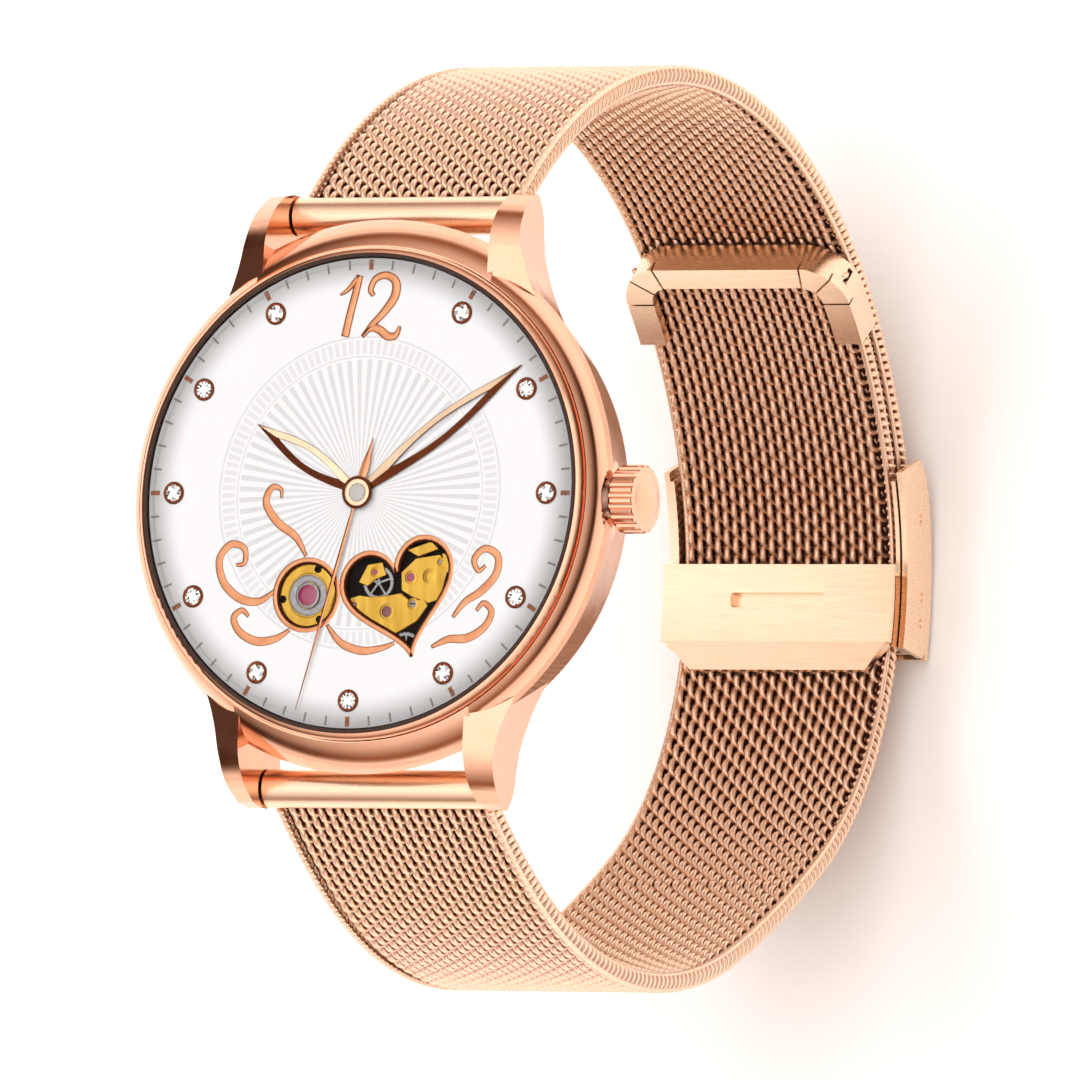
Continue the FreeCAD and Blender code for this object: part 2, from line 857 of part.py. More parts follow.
def clasp_slider():
    """The channel that the long strap runs through, with ears for the lock plate's pin."""
    pieces = [sector(web_inner, web_outer, clasp_low, web_high, -rail_high_x, rail_high_x)]
    rail = sector(rail_inner, rail_outer, clasp_low, clasp_high - 1.5, rail_low_x, rail_high_x)
    ear_inner = plate_pin_at - 0.52
    ear = sector(ear_inner, rail_outer, plate_pin_angle - 1.3, plate_high, rail_low_x, rail_high_x)
    stand = sector(web_inner + 0.1, short_bend.radius + 0.5, clasp_low, latch_angle + 1.0, 7.2, 8.0)
    pieces += both_sides(rail) + both_sides(ear) + both_sides(stand)
    pin_hole = bend_rod(plate_pin_radius + 0.02, plate_pin_at, plate_pin_angle, -hole_reach, hole_reach)
    bar_hole = bend_rod(latch_radius, short_bend.radius, latch_angle, -hole_reach, hole_reach)
    return without(joined(pieces), [pin_hole, bar_hole])


def lock_plate():
    """A shallow cap over the slider's rails with a thicker middle, a slot and a lip."""
    skin_low_x = -plate_half_width
    skin = sector(
        plate_inner, plate_inner + plate_skin, clasp_low, plate_high, skin_low_x, plate_half_width
    )
    middle_half = rail_low_x - side_gap
    middle = sector(
        plate_inner + 0.1, plate_outer, clasp_low, plate_high - 0.2, -middle_half, middle_half
    )
    lip = sector(plate_inner, plate_outer, lip_low, clasp_low, -plate_half_width, plate_half_width)
    lip = lip.cut(lip_bevel())
    lip = without(lip, both_sides(lip_corner()))
    slot = slot_cutter()
    pin_hole = bend_rod(plate_pin_radius + slip, plate_pin_at, plate_pin_angle, -hole_reach, hole_reach)
    return without(joined([skin, middle, lip]), [slot, pin_hole])


def lip_bevel():
    """Takes the lip's wrist side down to a slope."""
    wide = plate_half_width + 1
    near = Arc(bend.centre, plate_inner - 0.01, 0, 0).at(clasp_low + 0.2)
    far = Arc(bend.centre, plate_outer - 0.45, 0, 0).at(lip_low - 0.2)
    over_far = Arc(bend.centre, plate_inner - 2, 0, 0).at(lip_low - 2)
    over_near = Arc(bend.centre, plate_inner - 2, 0, 0).at(clasp_low)
    corners = [Vector(-wide, *p) for p in (near, far, over_far, over_near)]
    return Part.Face(outline(corners)).extrude(Vector(2 * wide, 0, 0))


def lip_corner():
    """Cuts one corner of the lip at a slant, seen from the wrist."""
    start_y = Arc(bend.centre, plate_inner, 0, 0).at(clasp_low)[0]
    end_y = bend.at(lip_low)[0] - 1
    corners = [
        Vector(plate_half_width - 0.4, start_y, -90),
        Vector(plate_half_width + 2, start_y, -90),
        Vector(plate_half_width + 2, end_y, -90),
        Vector(plate_half_width - 3.6, end_y, -90),
    ]
    return Part.Face(outline(corners)).extrude(Vector(0, 0, 90))


def slot_cutter():
    """The rounded slot for a prying tool."""
    y, z = Arc(bend.centre, plate_inner, 0, 0).at((clasp_low + plate_high) / 2 + 0.6)
    half = slot_length / 2
    low_z = z - slot_depth
    cutter = block((-half, y - slot_width / 2, low_z), (half, y + slot_width / 2, z + 1))
    upright = [e for e in cutter.Edges if abs(e.tangentAt(e.FirstParameter).z) > 0.9]
    return cutter.makeFillet(slot_width * 0.3, upright)


def clasp_cover():
    """The arched outer plate with its two side ears."""
    plate = sector(cover_inner, cover_outer, clasp_low, cover_high, -ear_high_x, ear_high_x)
    ear = sector(bend.radius - mesh_half, cover_outer, clasp_low, clasp_high, ear_low_x, ear_high_x)
    ear = ear.common(ear_rounding())
    nub = sector(
        cover_inner - 0.6, cover_inner + 0.1, latch_angle + 1.3, latch_angle + 2.3, -3, 3
    )
    solid = joined([plate, nub] + both_sides(ear))
    pin_hole = bend_rod(end_pin_radius, short_bend.radius, end_pin_angle, -hole_reach, hole_reach)
    holes = [bend_rod(rivet_radius, rivet_at, angle, -hole_reach, hole_reach) for angle in rivet_angles]
    return without(solid, [pin_hole] + holes)


def ear_rounding():
    """A round-cornered window that the ear is trimmed to, so that it is D-shaped."""
    low_y, low_z = Arc(bend.centre, cover_outer, 0, 0).at(clasp_low)
    high_y, high_z = Arc(bend.centre, cover_outer, 0, 0).at(clasp_high)
    inside = bend.centre[1] - bend.radius + 9
    corner = 2.2
    points = [
        Vector(0, low_y - 0.4, inside),
        Vector(0, low_y - 0.4, low_z + corner),
        (Vector(0, low_y + corner * 0.25, low_z + corner * 0.2), Vector(0, low_y + corner, low_z - 0.4)),
        Vector(0, 0.5 * (low_y + high_y), low_z - 3),
        Vector(0, high_y - corner * 1.2, high_z - 0.9),
        (Vector(0, high_y - corner * 0.2, high_z + corner * 0.3), Vector(0, high_y + 0.2, high_z + corner)),
        Vector(0, high_y + 0.2, inside),
    ]
    return Part.Face(outline(points)).extrude(Vector(20, 0, 0))


rivet_at = short_bend.radius


def cover_rivets():
    """Three riveted studs in each ear."""
    studs = [
        bend_rod(rivet_radius, rivet_at, angle, ear_low_x + 0.02, ear_high_x + 0.08)
        for angle in rivet_angles
    ]
    return group(studs + [mirrored_x(stud) for stud in studs])


def strap_end_block():
    """Crimped on the short strap's end, and turning on the cover's pin."""
    low = end_pin_angle - 1.1
    block_in = short_bend.radius - mesh_half
    body = sector(block_in, short_outer, low, short_bend.start, -strap_width / 2, strap_width / 2)
    return body.cut(bend_rod(end_pin_radius + slip, short_bend.radius, end_pin_angle, -hole_reach, hole_reach))


def end_pin():
    return bend_rod(end_pin_radius, short_bend.radius, end_pin_angle, -ear_high_x, ear_high_x)


def plate_pin():
    return bend_rod(plate_pin_radius, plate_pin_at, plate_pin_angle, -rail_high_x, rail_high_x)


def latch_bar():
    return bend_rod(latch_radius, short_bend.radius, latch_angle, -8.4, 8.4)


# ---------------------------------------------------------------- every piece by name

hand_level = face_top_z + hand_gap
hand_step = hand_thickness + hand_gap
post_top_z = face_top_z + 3 * hand_step + hand_gap
glass_seal_radius = rim_inner_radius - gasket_width
gasket_in = cavity_radius + 0.4
gasket_out = back_radius - 0.55


def charging_contact(side):
    x = side * contact_pitch / 2
    return disc(contact_radius, 0.7, 3.4, x, contact_y)


def contact_insulator(side):
    x = side * contact_pitch / 2
    sleeve = disc(insulator_radius, 0.75, 2.6, x, contact_y)
    return sleeve.cut(disc(contact_radius, 0, 4, x, contact_y))


pieces = {
    "mid_case": mid_case(),
    "bezel_ring": bezel_ring(),
    "cover_glass": cover_glass(),
    "glass_gasket": ring(rim_inner_radius, glass_seal_radius, face_z + 0.05, rim_top_z + 0.05),
    "display_panel": disc(display_radius, display_seat_z, face_z),
    "display_frame": ring(rim_outer_radius, display_radius + 0.05, display_seat_z, rim_foot_z),
    "display_flex": display_flex(),
    "dial_face": disc(face_radius, face_z, face_top_z),
    "hand_post": joined(
        [
            disc(post_radius, face_top_z, post_top_z),
            disc(hub_radius, post_top_z - 0.02, post_top_z + 0.06),
        ]
    ),
    "hour_hand": leaf_hand(hour_hand_length, hour_hand_turn, hand_level),
    "minute_hand": leaf_hand(minute_hand_length, minute_hand_turn, hand_level + hand_step),
    "second_hand": second_hand(hand_level + 2 * hand_step),
    "main_board": main_board(),
    "board_chips": board_chips(),
    "battery": battery(),
    "battery_tray": battery_tray(),
    "vibration_motor": vibration_motor(),
    "case_back": case_back(),
    "back_gasket": ring(gasket_out, gasket_in, back_seat_z, back_seat_z + 0.38),
    "case_screws": group(quarters(case_screw())),
    "sensor_window": sensor_window(),
    "sensor_board": disc(window_flange_radius - 0.4, sensor_board_z, sensor_board_top_z),
    "optical_sensors": optical_sensors(),
    "charging_contacts": group([charging_contact(side) for side in (-1, 1)]),
    "contact_insulators": group([contact_insulator(side) for side in (-1, 1)]),
    "charging_magnets": group(
        [disc(1.5, back_seat_z + 0.02, 3.4, side * 7.2, contact_y) for side in (-1, 1)]
    ),
    "crown_tube": crown_washer(
        tube_start_x, tube_end_x - tube_start_x, stem_radius + slip, crown_tube_radius
    ),
    "crown_stem": crown_stem(),
    "crown_seal": crown_washer(seal_x, seal_width, 0.6, stem_radius + slip - 0.02),
    "crown_clip": crown_washer(clip_x, clip_width, 0.6, 1.4),
    "crown_knob": crown_knob(),
    "crown_cap": crown_cap(),
    "crown_switch": joined(
        [
            block(
                (switch_board_x + 0.6, -1.8, crown_z - 1.4), (switch_x, 1.8, crown_z + 1.4)
            ),
            rod(0.8, switch_x - 0.1, switch_x + 0.17, 0, crown_z),
        ]
    ),
    "switch_board": block(
        (switch_board_x, -3.2, crown_z - 2.4), (switch_board_x + 0.6, 3.2, crown_z + 1.6)
    ),
    "spring_bar_tubes": group([spring_bar_tube(side) for side in (-1, 1)]),
    "spring_bar_pins": group(both_sides(spring_bar_pin(1)) + both_sides(spring_bar_pin(-1))),
    "spring_bar_springs": group([bar_spring(side) for side in (-1, 1)]),
    "upper_strap_tube": strap_tube(1),
    "upper_mesh_strap": upper_mesh(),
    "strap_end_block": strap_end_block(),
    "lower_strap_tube": strap_tube(-1),
    "lower_mesh_strap": lower_mesh(),
    "strap_tip": strap_tip(),
    "clasp_slider": clasp_slider(),
    "latch_bar": latch_bar(),
    "lock_plate": lock_plate(),
    "lock_plate_pin": plate_pin(),
    "clasp_cover": clasp_cover(),
    "cover_pin": end_pin(),
    "cover_rivets": cover_rivets(),
}

for name, shape in pieces.items():
    if not shape.isValid() or shape.Volume <= 0:
        raise ValueError(f"{name} isn't a good solid")
    shape.exportStep(f"parts/{name}.step")

print("bend centre", [round(v, 3) for v in bend.centre])
print("cover pin", [round(v, 3) for v in short_bend.at(end_pin_angle)])
print("lock plate pin", [round(v, 3) for v in Arc(bend.centre, plate_pin_at, 0, 0).at(plate_pin_angle)])
print("short strap radius", round(short_arc.radius, 3), "tail ends at", [round(v, 2) for v in tail.at(tail.end)])
print(len(pieces), "pieces")
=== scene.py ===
import json
import math
import bmesh
import bpy
from mathutils import Matrix, Vector


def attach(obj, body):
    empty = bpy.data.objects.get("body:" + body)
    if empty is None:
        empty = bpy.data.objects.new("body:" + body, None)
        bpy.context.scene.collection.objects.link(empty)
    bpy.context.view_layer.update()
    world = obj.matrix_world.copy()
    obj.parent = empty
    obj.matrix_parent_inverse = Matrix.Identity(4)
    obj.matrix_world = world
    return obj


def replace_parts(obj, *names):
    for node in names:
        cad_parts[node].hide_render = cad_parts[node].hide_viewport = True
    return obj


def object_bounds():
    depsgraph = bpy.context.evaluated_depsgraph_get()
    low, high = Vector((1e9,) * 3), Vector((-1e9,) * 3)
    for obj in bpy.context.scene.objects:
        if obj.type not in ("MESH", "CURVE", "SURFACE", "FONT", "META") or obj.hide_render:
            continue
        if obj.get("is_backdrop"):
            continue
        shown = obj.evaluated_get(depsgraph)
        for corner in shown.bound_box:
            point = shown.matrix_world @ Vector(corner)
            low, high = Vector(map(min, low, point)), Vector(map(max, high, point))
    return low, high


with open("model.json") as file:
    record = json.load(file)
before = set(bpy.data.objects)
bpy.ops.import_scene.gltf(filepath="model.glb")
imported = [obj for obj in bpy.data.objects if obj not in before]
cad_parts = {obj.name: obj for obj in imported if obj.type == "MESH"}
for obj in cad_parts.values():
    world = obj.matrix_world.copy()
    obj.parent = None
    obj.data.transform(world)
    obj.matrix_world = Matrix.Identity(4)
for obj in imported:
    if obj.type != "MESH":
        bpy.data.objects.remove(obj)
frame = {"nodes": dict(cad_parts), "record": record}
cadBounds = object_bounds()
mm = 0.001  # everything below is worked out in millimetres and scaled by this at the end
nodes = frame["nodes"]


# camera, floor and light

# right, up and the way back to the camera, for a view from above the 4 o'clock side
camera = {
    "right": (0.894, 0.052, -0.444),
    "up": (0.0, 0.993, 0.115),
    "aside": 13.89,
    "below": 3.62,
    "distance": 1500.0,
    "aimHeight": 10.2,
    "lens": 650.5,
    "sensor": 36,
    "nearest": 0.1,  # metres, like the next one
    "farthest": 10,
}


def makeCamera():
    right = Vector(camera["right"]).normalized()
    up = Vector(camera["up"])
    up = (up - right * right.dot(up)).normalized()
    back = right.cross(up)
    place = camera["aside"] * right - camera["below"] * up + camera["distance"] * back
    place = (place + Vector((0, 0, camera["aimHeight"]))) * mm
    data = bpy.data.cameras.new("camera")
    data.lens = camera["lens"]
    data.sensor_width = camera["sensor"]
    data.clip_start = camera["nearest"]
    data.clip_end = camera["farthest"]
    holder = addObject("camera", data)
    turn = Matrix((right, up, back)).transposed()
    holder.matrix_world = Matrix.Translation(place) @ turn.to_4x4()
    bpy.context.scene.camera = holder


def addObject(name, data):
    holder = bpy.data.objects.new(name, data)
    bpy.context.scene.collection.objects.link(holder)
    return holder


maths = "ShaderNodeMath"  # the kinds of node asked for most
mapRange = "ShaderNodeMapRange"


def addNode(tree, kind, *values, out=0, **settings):
    # adds one node and gives the output asked for; values are numbers or sockets to link, in order or by name
    node = tree.nodes.new(kind)
    for name, value in settings.items():
        setattr(node, name, value)
    named = values[0] if values and isinstance(values[0], dict) else dict(enumerate(values))
    for key, value in named.items():
        if isinstance(value, bpy.types.NodeSocket):
            tree.links.new(value, node.inputs[key])
        else:
            node.inputs[key].default_value = value
    return node.outputs[out] if len(node.outputs) else node


def hexColour(code):
    # a web colour through the sRGB curve to the linear values that shaders take
    parts = [int(code[k : k + 2], 16) / 255 for k in (1, 3, 5)]
    linear = [p / 12.92 if p <= 0.04045 else ((p + 0.055) / 1.055) ** 2.4 for p in parts]
    return (*linear, 1.0)


light = {
    "zenith": 1.8,
    "flag": 0.1,
    "sideGlow": 0.5,
    "flagTop": 0.3,
    "skyTop": 0.98,
    "falloff": 1.25,
    "horizon": 0.2,
    "horizonLevel": 0.7,
    "flagFrom": 0.4,
    "flagTo": 0.75,
    "tintFalloff": 0.4,
    "flagTint": "#E0A07A",
    "skyTint": "#FFFCFA",
    "softbox": 16.0,
    "softboxSize": 2.2,
    "softboxPlace": (-0.1, 0.25, 1.2),  # metres, like the next one
    "softboxAim": (0, 0, -0.03),
    "floorHalf": 4,  # metres
    "floorShade": "#FFFFFF",
    "floorDrop": 0.6,
}


def makeWorld():
    # a white tent over the table, with warm dark flags low down for the metal to mirror
    world = bpy.data.worlds.new("studio")
    bpy.context.scene.world = world
    world.use_nodes = True
    tree = world.node_tree
    tree.nodes.clear()
    surface = addNode(tree, "ShaderNodeOutputWorld").inputs[0]
    way = addNode(tree, "ShaderNodeTexCoord", out="Generated")
    height = addNode(tree, "ShaderNodeSeparateXYZ", way, out=2)
    aside = addNode(tree, "ShaderNodeSeparateXYZ", way, out=0)
    rise = addNode(tree, mapRange, height, light["flagTop"], light["skyTop"], 0.0, 1.0)
    rise = addNode(tree, maths, rise, light["falloff"], operation="POWER")
    low = addNode(
        tree, mapRange, height, light["horizon"], 0.0, 0.0, light["horizonLevel"],
        interpolation_type="SMOOTHSTEP",
    )
    share = addNode(tree, maths, rise, low, operation="MAXIMUM")
    # the flags stand to the left and right only
    aside = addNode(tree, maths, aside, operation="ABSOLUTE")
    dark = addNode(
        tree, mapRange, aside, light["flagFrom"], light["flagTo"], light["sideGlow"], light["flag"]
    )
    level = addNode(tree, mapRange, share, 0.0, 1.0, dark, light["zenith"])
    fade = addNode(tree, maths, share, light["tintFalloff"], operation="POWER")
    tints = {0: fade, 6: hexColour(light["flagTint"]), 7: hexColour(light["skyTint"])}
    tint = addNode(tree, "ShaderNodeMix", tints, out=2, data_type="RGBA")
    sky = addNode(tree, "ShaderNodeBackground", {"Color": tint, "Strength": level})
    tree.links.new(sky, surface)


def principled(name, colour, roughness, metallic=0.0, **sockets):
    material = bpy.data.materials.new(name)
    material.use_nodes = True
    shader = material.node_tree.nodes["Principled BSDF"]
    shader.inputs["Base Color"].default_value = hexColour(colour)
    shader.inputs["Roughness"].default_value = roughness
    shader.inputs["Metallic"].default_value = metallic
    for key, value in sockets.items():
        shader.inputs[key.replace("_", " ")].default_value = value
    return material, material.node_tree, shader


def grain(tree, perMillimetre, detail=2.0, stretch=(1, 1, 1)):
    # noise whose grains are 1 / perMillimetre across, stretched along an axis by a smaller number
    point = addNode(tree, "ShaderNodeTexCoord", out="Object")
    scaled = addNode(tree, "ShaderNodeMapping", {"Vector": point, "Scale": stretch})
    settings = {"Vector": scaled, "Scale": perMillimetre / mm, "Detail": detail}
    return addNode(tree, "ShaderNodeTexNoise", settings, out="Fac")


# the noise's values that take a material from its one colour or roughness to the other
grainLow, grainHigh = 0.3, 0.7


def mottle(tree, shader, field, colour, darkColour, smoothest, roughest):
    # colour and roughness both follow one field of noise
    tints = {0: field, 6: hexColour(colour), 7: hexColour(darkColour)}
    tint = addNode(tree, "ShaderNodeMix", tints, out=2, data_type="RGBA")
    tree.links.new(tint, shader.inputs["Base Color"])
    rough = addNode(tree, mapRange, field, grainLow, grainHigh, smoothest, roughest)
    tree.links.new(rough, shader.inputs["Roughness"])


def metalPlate(name, colour, darkColour, roughness, spread, perMillimetre, stretch=(1, 1, 1)):
    material, tree, shader = principled(name, colour, roughness, 1.0)
    field = grain(tree, perMillimetre, stretch=stretch)
    mottle(tree, shader, field, colour, darkColour, roughness - spread, roughness + spread)
    return material


def roughen(material, field, depth):
    # field moves the surface in and out by depth millimetres
    tree = material.node_tree
    bump = addNode(tree, "ShaderNodeBump", {"Height": field, "Distance": depth * mm, "Strength": 1.0})
    tree.links.new(bump, tree.nodes["Principled BSDF"].inputs["Normal"])


# polished steel, rose-gold plated: a near mirror, with the faintest orange-peel and wipe marks
roseGoldPolished = metalPlate("roseGoldPolishedSteel", "#F3C0A2", "#EEB596", 0.12, 0.03, 0.5)
roughen(roseGoldPolished, grain(roseGoldPolished.node_tree, 0.25, 1.0), 0.004)

# drawn steel wire, plated after weaving: bright, a little rougher than the case
roseGoldWire = metalPlate("roseGoldDrawnWire", "#FFE4CC", "#F8CDAC", 0.38, 0.05, 3.0)

# pressed clasp plates, satin finished across the strap: fine scratches along X blur the mirror
roseGoldSatin = metalPlate("roseGoldSatinSteel", "#FADBBE", "#F8D6B6", 0.28, 0.03, 6.0, (0.05, 1, 1))
roughen(roseGoldSatin, grain(roseGoldSatin.node_tree, 8.0, 1.0, (0.04, 1, 1)), 0.0005)

# painted shadow between the wires: a dark sheet stands where the weave is too deep for light
paintedWeaveShadow, weaveShadowTree, weaveShadowShader = principled("paintedWeaveShadowSheet", "#2A120A", 0.8, Specular_IOR_Level=0.1)
weaveShadowTints = {0: grain(weaveShadowTree, 2.0), 6: hexColour("#1A0B06"), 7: hexColour("#4A2213")}
weaveShadowTint = addNode(weaveShadowTree, "ShaderNodeMix", weaveShadowTints, out=2, data_type="RGBA")
weaveShadowTree.links.new(weaveShadowTint, weaveShadowShader.inputs["Base Color"])

# painted reflection and painted shade: dark copies of the rose gold for trim facets that mirror the unlit side
# of the room
roseGoldShade = metalPlate("roseGoldShadedBevel", "#8A4A2C", "#6E3720", 0.2, 0.04, 1.0)
paintedShadeBevel = metalPlate("roseGoldPaintedShadeBevel", "#6A3418", "#4A2010", 0.22, 0.04, 0.6)

# painted highlight: a near-cream copy of the rose gold for the facets of the hands that mirror the tent
roseGoldPaintedHighlight = metalPlate("roseGoldPaintedHighlightBevel", "#FBE3C4", "#F5D3AE", 0.22, 0.04, 1.0)

# the raised art of the dial, plated like the case, with the display's light on it painted in as a deeper tone
# than the case's
artGold = metalPlate("roseGoldAppliedArt", "#EBAE84", "#CF8458", 0.2, 0.05, 1.2)

# movement plates: brass-coloured, straight grained
movementBrass = metalPlate("gildedBridgeBrass", "#EBC65C", "#B98528", 0.26, 0.06, 1.5, (1, 0.15, 1))

# bearing stones: glossy and deep red, one lighter than the other
rubyJewel = principled("syntheticRuby", "#8A0C46", 0.08, 0.0, IOR=1.76, Coat_Weight=0.6)[0]
deepRuby = principled("deepSyntheticRuby", "#5E0F1C", 0.1, 0.0, IOR=1.76, Coat_Weight=0.5)[0]

# grey wheels, and the blackened floor that the movement stands on
wheelSteel = metalPlate("brushedWheelSteel", "#B9B9BC", "#7C7C80", 0.3, 0.06, 3.0)
pocketBlack = metalPlate("blackenedPocket", "#0E0B0A", "#241C17", 0.5, 0.08, 2.0)

# cut glass stones: the flashes of their clear facets are painted in, white for painted highlights, grey and
# dark for painted shade
stoneFacetHighlight = principled("cutStonePaintedHighlightFacet", "#FFFFFF", 0.04, 0.0, IOR=1.9, Coat_Weight=0.8)[0]
stoneFacetGreyShade = principled("cutStonePaintedGreyFacet", "#A9A6A4", 0.06, 0.3, IOR=1.9, Coat_Weight=0.8)[0]
stoneFacetShade = principled("cutStonePaintedShadeFacet", "#2C2725", 0.05, 0.4, IOR=1.9, Coat_Weight=0.8)[0]

# marks round the dial: matt grey print for minutes, dull copper for hours
tickGrey = principled("printedGreyTick", "#6F6A66", 0.5)[0]
tickBrown = metalPlate("roseGoldHourTick", "#9B6A52", "#7C4F3A", 0.35, 0.05, 2.0)


def dialWhite():
    # printed white enamel: sunray stripes and a bead ring, with a soft painted shade under the rim
    rays = {"count": 72, "share": 0.46, "ring": (1.3, 10.35), "tone": 0.22}
    beads = {"count": 120, "share": 0.62, "ring": (10.75, 11.85), "tone": 0.15}
    sizes = {"lines": [(10.5, 10.62), (12.0, 12.15)], "lineTone": 0.2, "shadeFrom": 15.6, "shadeTo": 18.3,
             "shadeTone": 0.62, "speckTone": 0.02, "specks": 4.0, "wholeTurns": 10.0}
    material, tree, shader = principled("whiteDialEnamel", "#F4F4F4", 0.42)
    point = addNode(tree, "ShaderNodeTexCoord", out="Object")
    x, y = addNode(tree, "ShaderNodeSeparateXYZ", point).node.outputs[:2]
    turn = addNode(tree, maths, y, x, operation="ARCTAN2")
    turn = addNode(tree, maths, turn, sizes["wholeTurns"], operation="ADD")
    squares = [addNode(tree, maths, side, side, operation="MULTIPLY") for side in (x, y)]
    square = addNode(tree, maths, *squares, operation="ADD")
    radius = addNode(tree, maths, square, operation="SQRT")
    radius = addNode(tree, maths, radius, 1 / mm, operation="MULTIPLY")

    def within(low, high):
        above = addNode(tree, maths, radius, low, operation="GREATER_THAN")
        below = addNode(tree, maths, radius, high, operation="LESS_THAN")
        return addNode(tree, maths, above, below, operation="MULTIPLY")

    def stripes(band):
        wave = addNode(tree, maths, turn, band["count"] / (2 * math.pi), operation="MULTIPLY")
        wave = addNode(tree, maths, wave, operation="FRACT")
        inked = addNode(tree, maths, wave, band["share"], operation="LESS_THAN")
        inked = addNode(tree, maths, inked, within(*band["ring"]), operation="MULTIPLY")
        return addNode(tree, maths, inked, band["tone"], operation="MULTIPLY")

    lines = [within(low, high) for low, high in sizes["lines"]]
    lines = addNode(tree, maths, *lines, operation="ADD")
    lines = addNode(tree, maths, lines, sizes["lineTone"], operation="MULTIPLY")
    # painted shade under the rim: the dial greys towards its edge
    shade = addNode(
        tree, mapRange, radius, sizes["shadeFrom"], sizes["shadeTo"], 0.0, sizes["shadeTone"],
        interpolation_type="SMOOTHSTEP",
    )
    speck = grain(tree, sizes["specks"])
    speck = addNode(tree, maths, speck, sizes["speckTone"], operation="MULTIPLY")
    total = stripes(rays)
    for tone in (stripes(beads), lines, shade, speck):
        total = addNode(tree, maths, total, tone, operation="ADD")
    tints = {0: total, 6: hexColour("#DCDFE2"), 7: hexColour("#4E4C4A")}
    tint = addNode(tree, "ShaderNodeMix", tints, out=2, data_type="RGBA")
    tree.links.new(tint, shader.inputs["Base Color"])
    return material


def clearGlass():
    # hardened cover glass with an anti-reflection coat: almost nothing but a faint edge
    material, tree, shader = principled("hardenedClearGlass", "#1A1A1A", 0.02, 0.0, Alpha=0.04, IOR=1.5)
    smear = addNode(tree, mapRange, grain(tree, 0.1), grainLow, grainHigh, 0.015, 0.04)
    tree.links.new(smear, shader.inputs["Roughness"])
    return material


def plainMaterial(name, colour, darkColour, roughness, perMillimetre, bump=0.0, metallic=0.0):
    material, tree, shader = principled(name, colour, roughness, metallic)
    field = grain(tree, perMillimetre)
    mottle(tree, shader, field, colour, darkColour, roughness * 0.85, min(1, roughness * 1.15))
    if bump:
        roughen(material, field, bump)
    return material


# what each slot of the record gives the eye is said at the end of its line
slotMaterials = {
    "rose_gold_case": roseGoldPolished,
    "rose_gold_mesh": roseGoldWire,
    "rose_gold_clasp": roseGoldSatin,
    "clear_glass": clearGlass(),
    "sensor_glass": plainMaterial("tintedSensorGlass", "#15161A", "#0C0D10", 0.08, 0.2),  # dark and glassy
    "black_rubber": plainMaterial("mouldedBlackRubber", "#3A2216", "#24130B", 0.7, 6.0, 0.01),  # soft, matt
    "display_black": plainMaterial("displayGlassBlack", "#0C0C0E", "#17171A", 0.2, 1.0),  # black, smooth
    "dial_white": dialWhite(),
    "gold_hands": metalPlate("polishedGoldHand", "#EFBE92", "#D89E70", 0.16, 0.04, 2.0),  # bright
    "circuit_board": plainMaterial("greenCircuitBoard", "#1F5B3A", "#174A2E", 0.45, 2.0, 0.01),  # lacquered
    "chip_black": plainMaterial("mouldedChipEpoxy", "#1C1C1E", "#2A2A2C", 0.6, 5.0, 0.01),  # dull
    "battery_foil": plainMaterial("batteryFoil", "#B9BABD", "#9A9B9F", 0.35, 0.8, 0.02, 0.9),  # crinkled
    "black_plastic": plainMaterial("mouldedBlackPlastic", "#222224", "#2E2E31", 0.5, 5.0, 0.01),  # satin
    "polyimide": plainMaterial("amberPolyimideFilm", "#B5702A", "#9C5D1F", 0.35, 1.0),  # amber film
    "steel": metalPlate("turnedStainlessSteel", "#C9CACC", "#B2B4B7", 0.25, 0.05, 3.0),  # cool grey
    "contact_gold": metalPlate("goldPlatedContact", "#E3B65A", "#D6A548", 0.22, 0.05, 3.0),  # yellow
}


def dressNodes():
    for part in frame["record"]["subparts"]:
        holder = nodes[part["node"]]
        holder.data.materials.clear()
        holder.data.materials.append(slotMaterials[part["material_slot"]])


def makeFloor():
    low = cadBounds[0]
    data = bpy.data.meshes.new("studioTable")
    z = low[2] - light["floorDrop"] * mm
    half = light["floorHalf"]
    corners = [(-half, -half, z), (half, -half, z), (half, half, z), (-half, half, z)]
    data.from_pydata(corners, [], [(0, 1, 2, 3)])
    table = addObject("studioTable", data)
    data.materials.append(plainMaterial("whiteTableCard", light["floorShade"], "#F2F0EE", 0.8, 0.02))
    table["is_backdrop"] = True


def makeLight():
    data = bpy.data.lights.new("topSoftbox", "AREA")
    data.shape = "DISK"
    data.size = light["softboxSize"]
    data.energy = light["softbox"]
    holder = addObject("topSoftbox", data)
    place = Vector(light["softboxPlace"])
    holder.location = place
    holder.rotation_euler = (Vector(light["softboxAim"]) - place).to_track_quat("-Z", "Y").to_euler()
    holder.visible_glossy = False  # it fills the shadows; the metal mirrors the tent instead


makeCamera()
makeWorld()
makeFloor()
makeLight()
bpy.context.scene.view_settings.view_transform = "Standard"
dressNodes()
print("stage: camera, light and materials")


# mesh helpers

def meshPiece(name, shape, materials, body, smooth):
    data = bpy.data.meshes.new(name)
    data.from_pydata([tuple(c * mm for c in v) for v in shape.verts], [], shape.faces)
    for material in materials:
        data.materials.append(material)
    for polygon, index in zip(data.polygons, shape.marks):
        polygon.material_index = index
    data.polygons.foreach_set("use_smooth", [smooth] * len(data.polygons))
    data.validate()
    piece = addObject(name, data)
    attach(piece, body)
    return piece


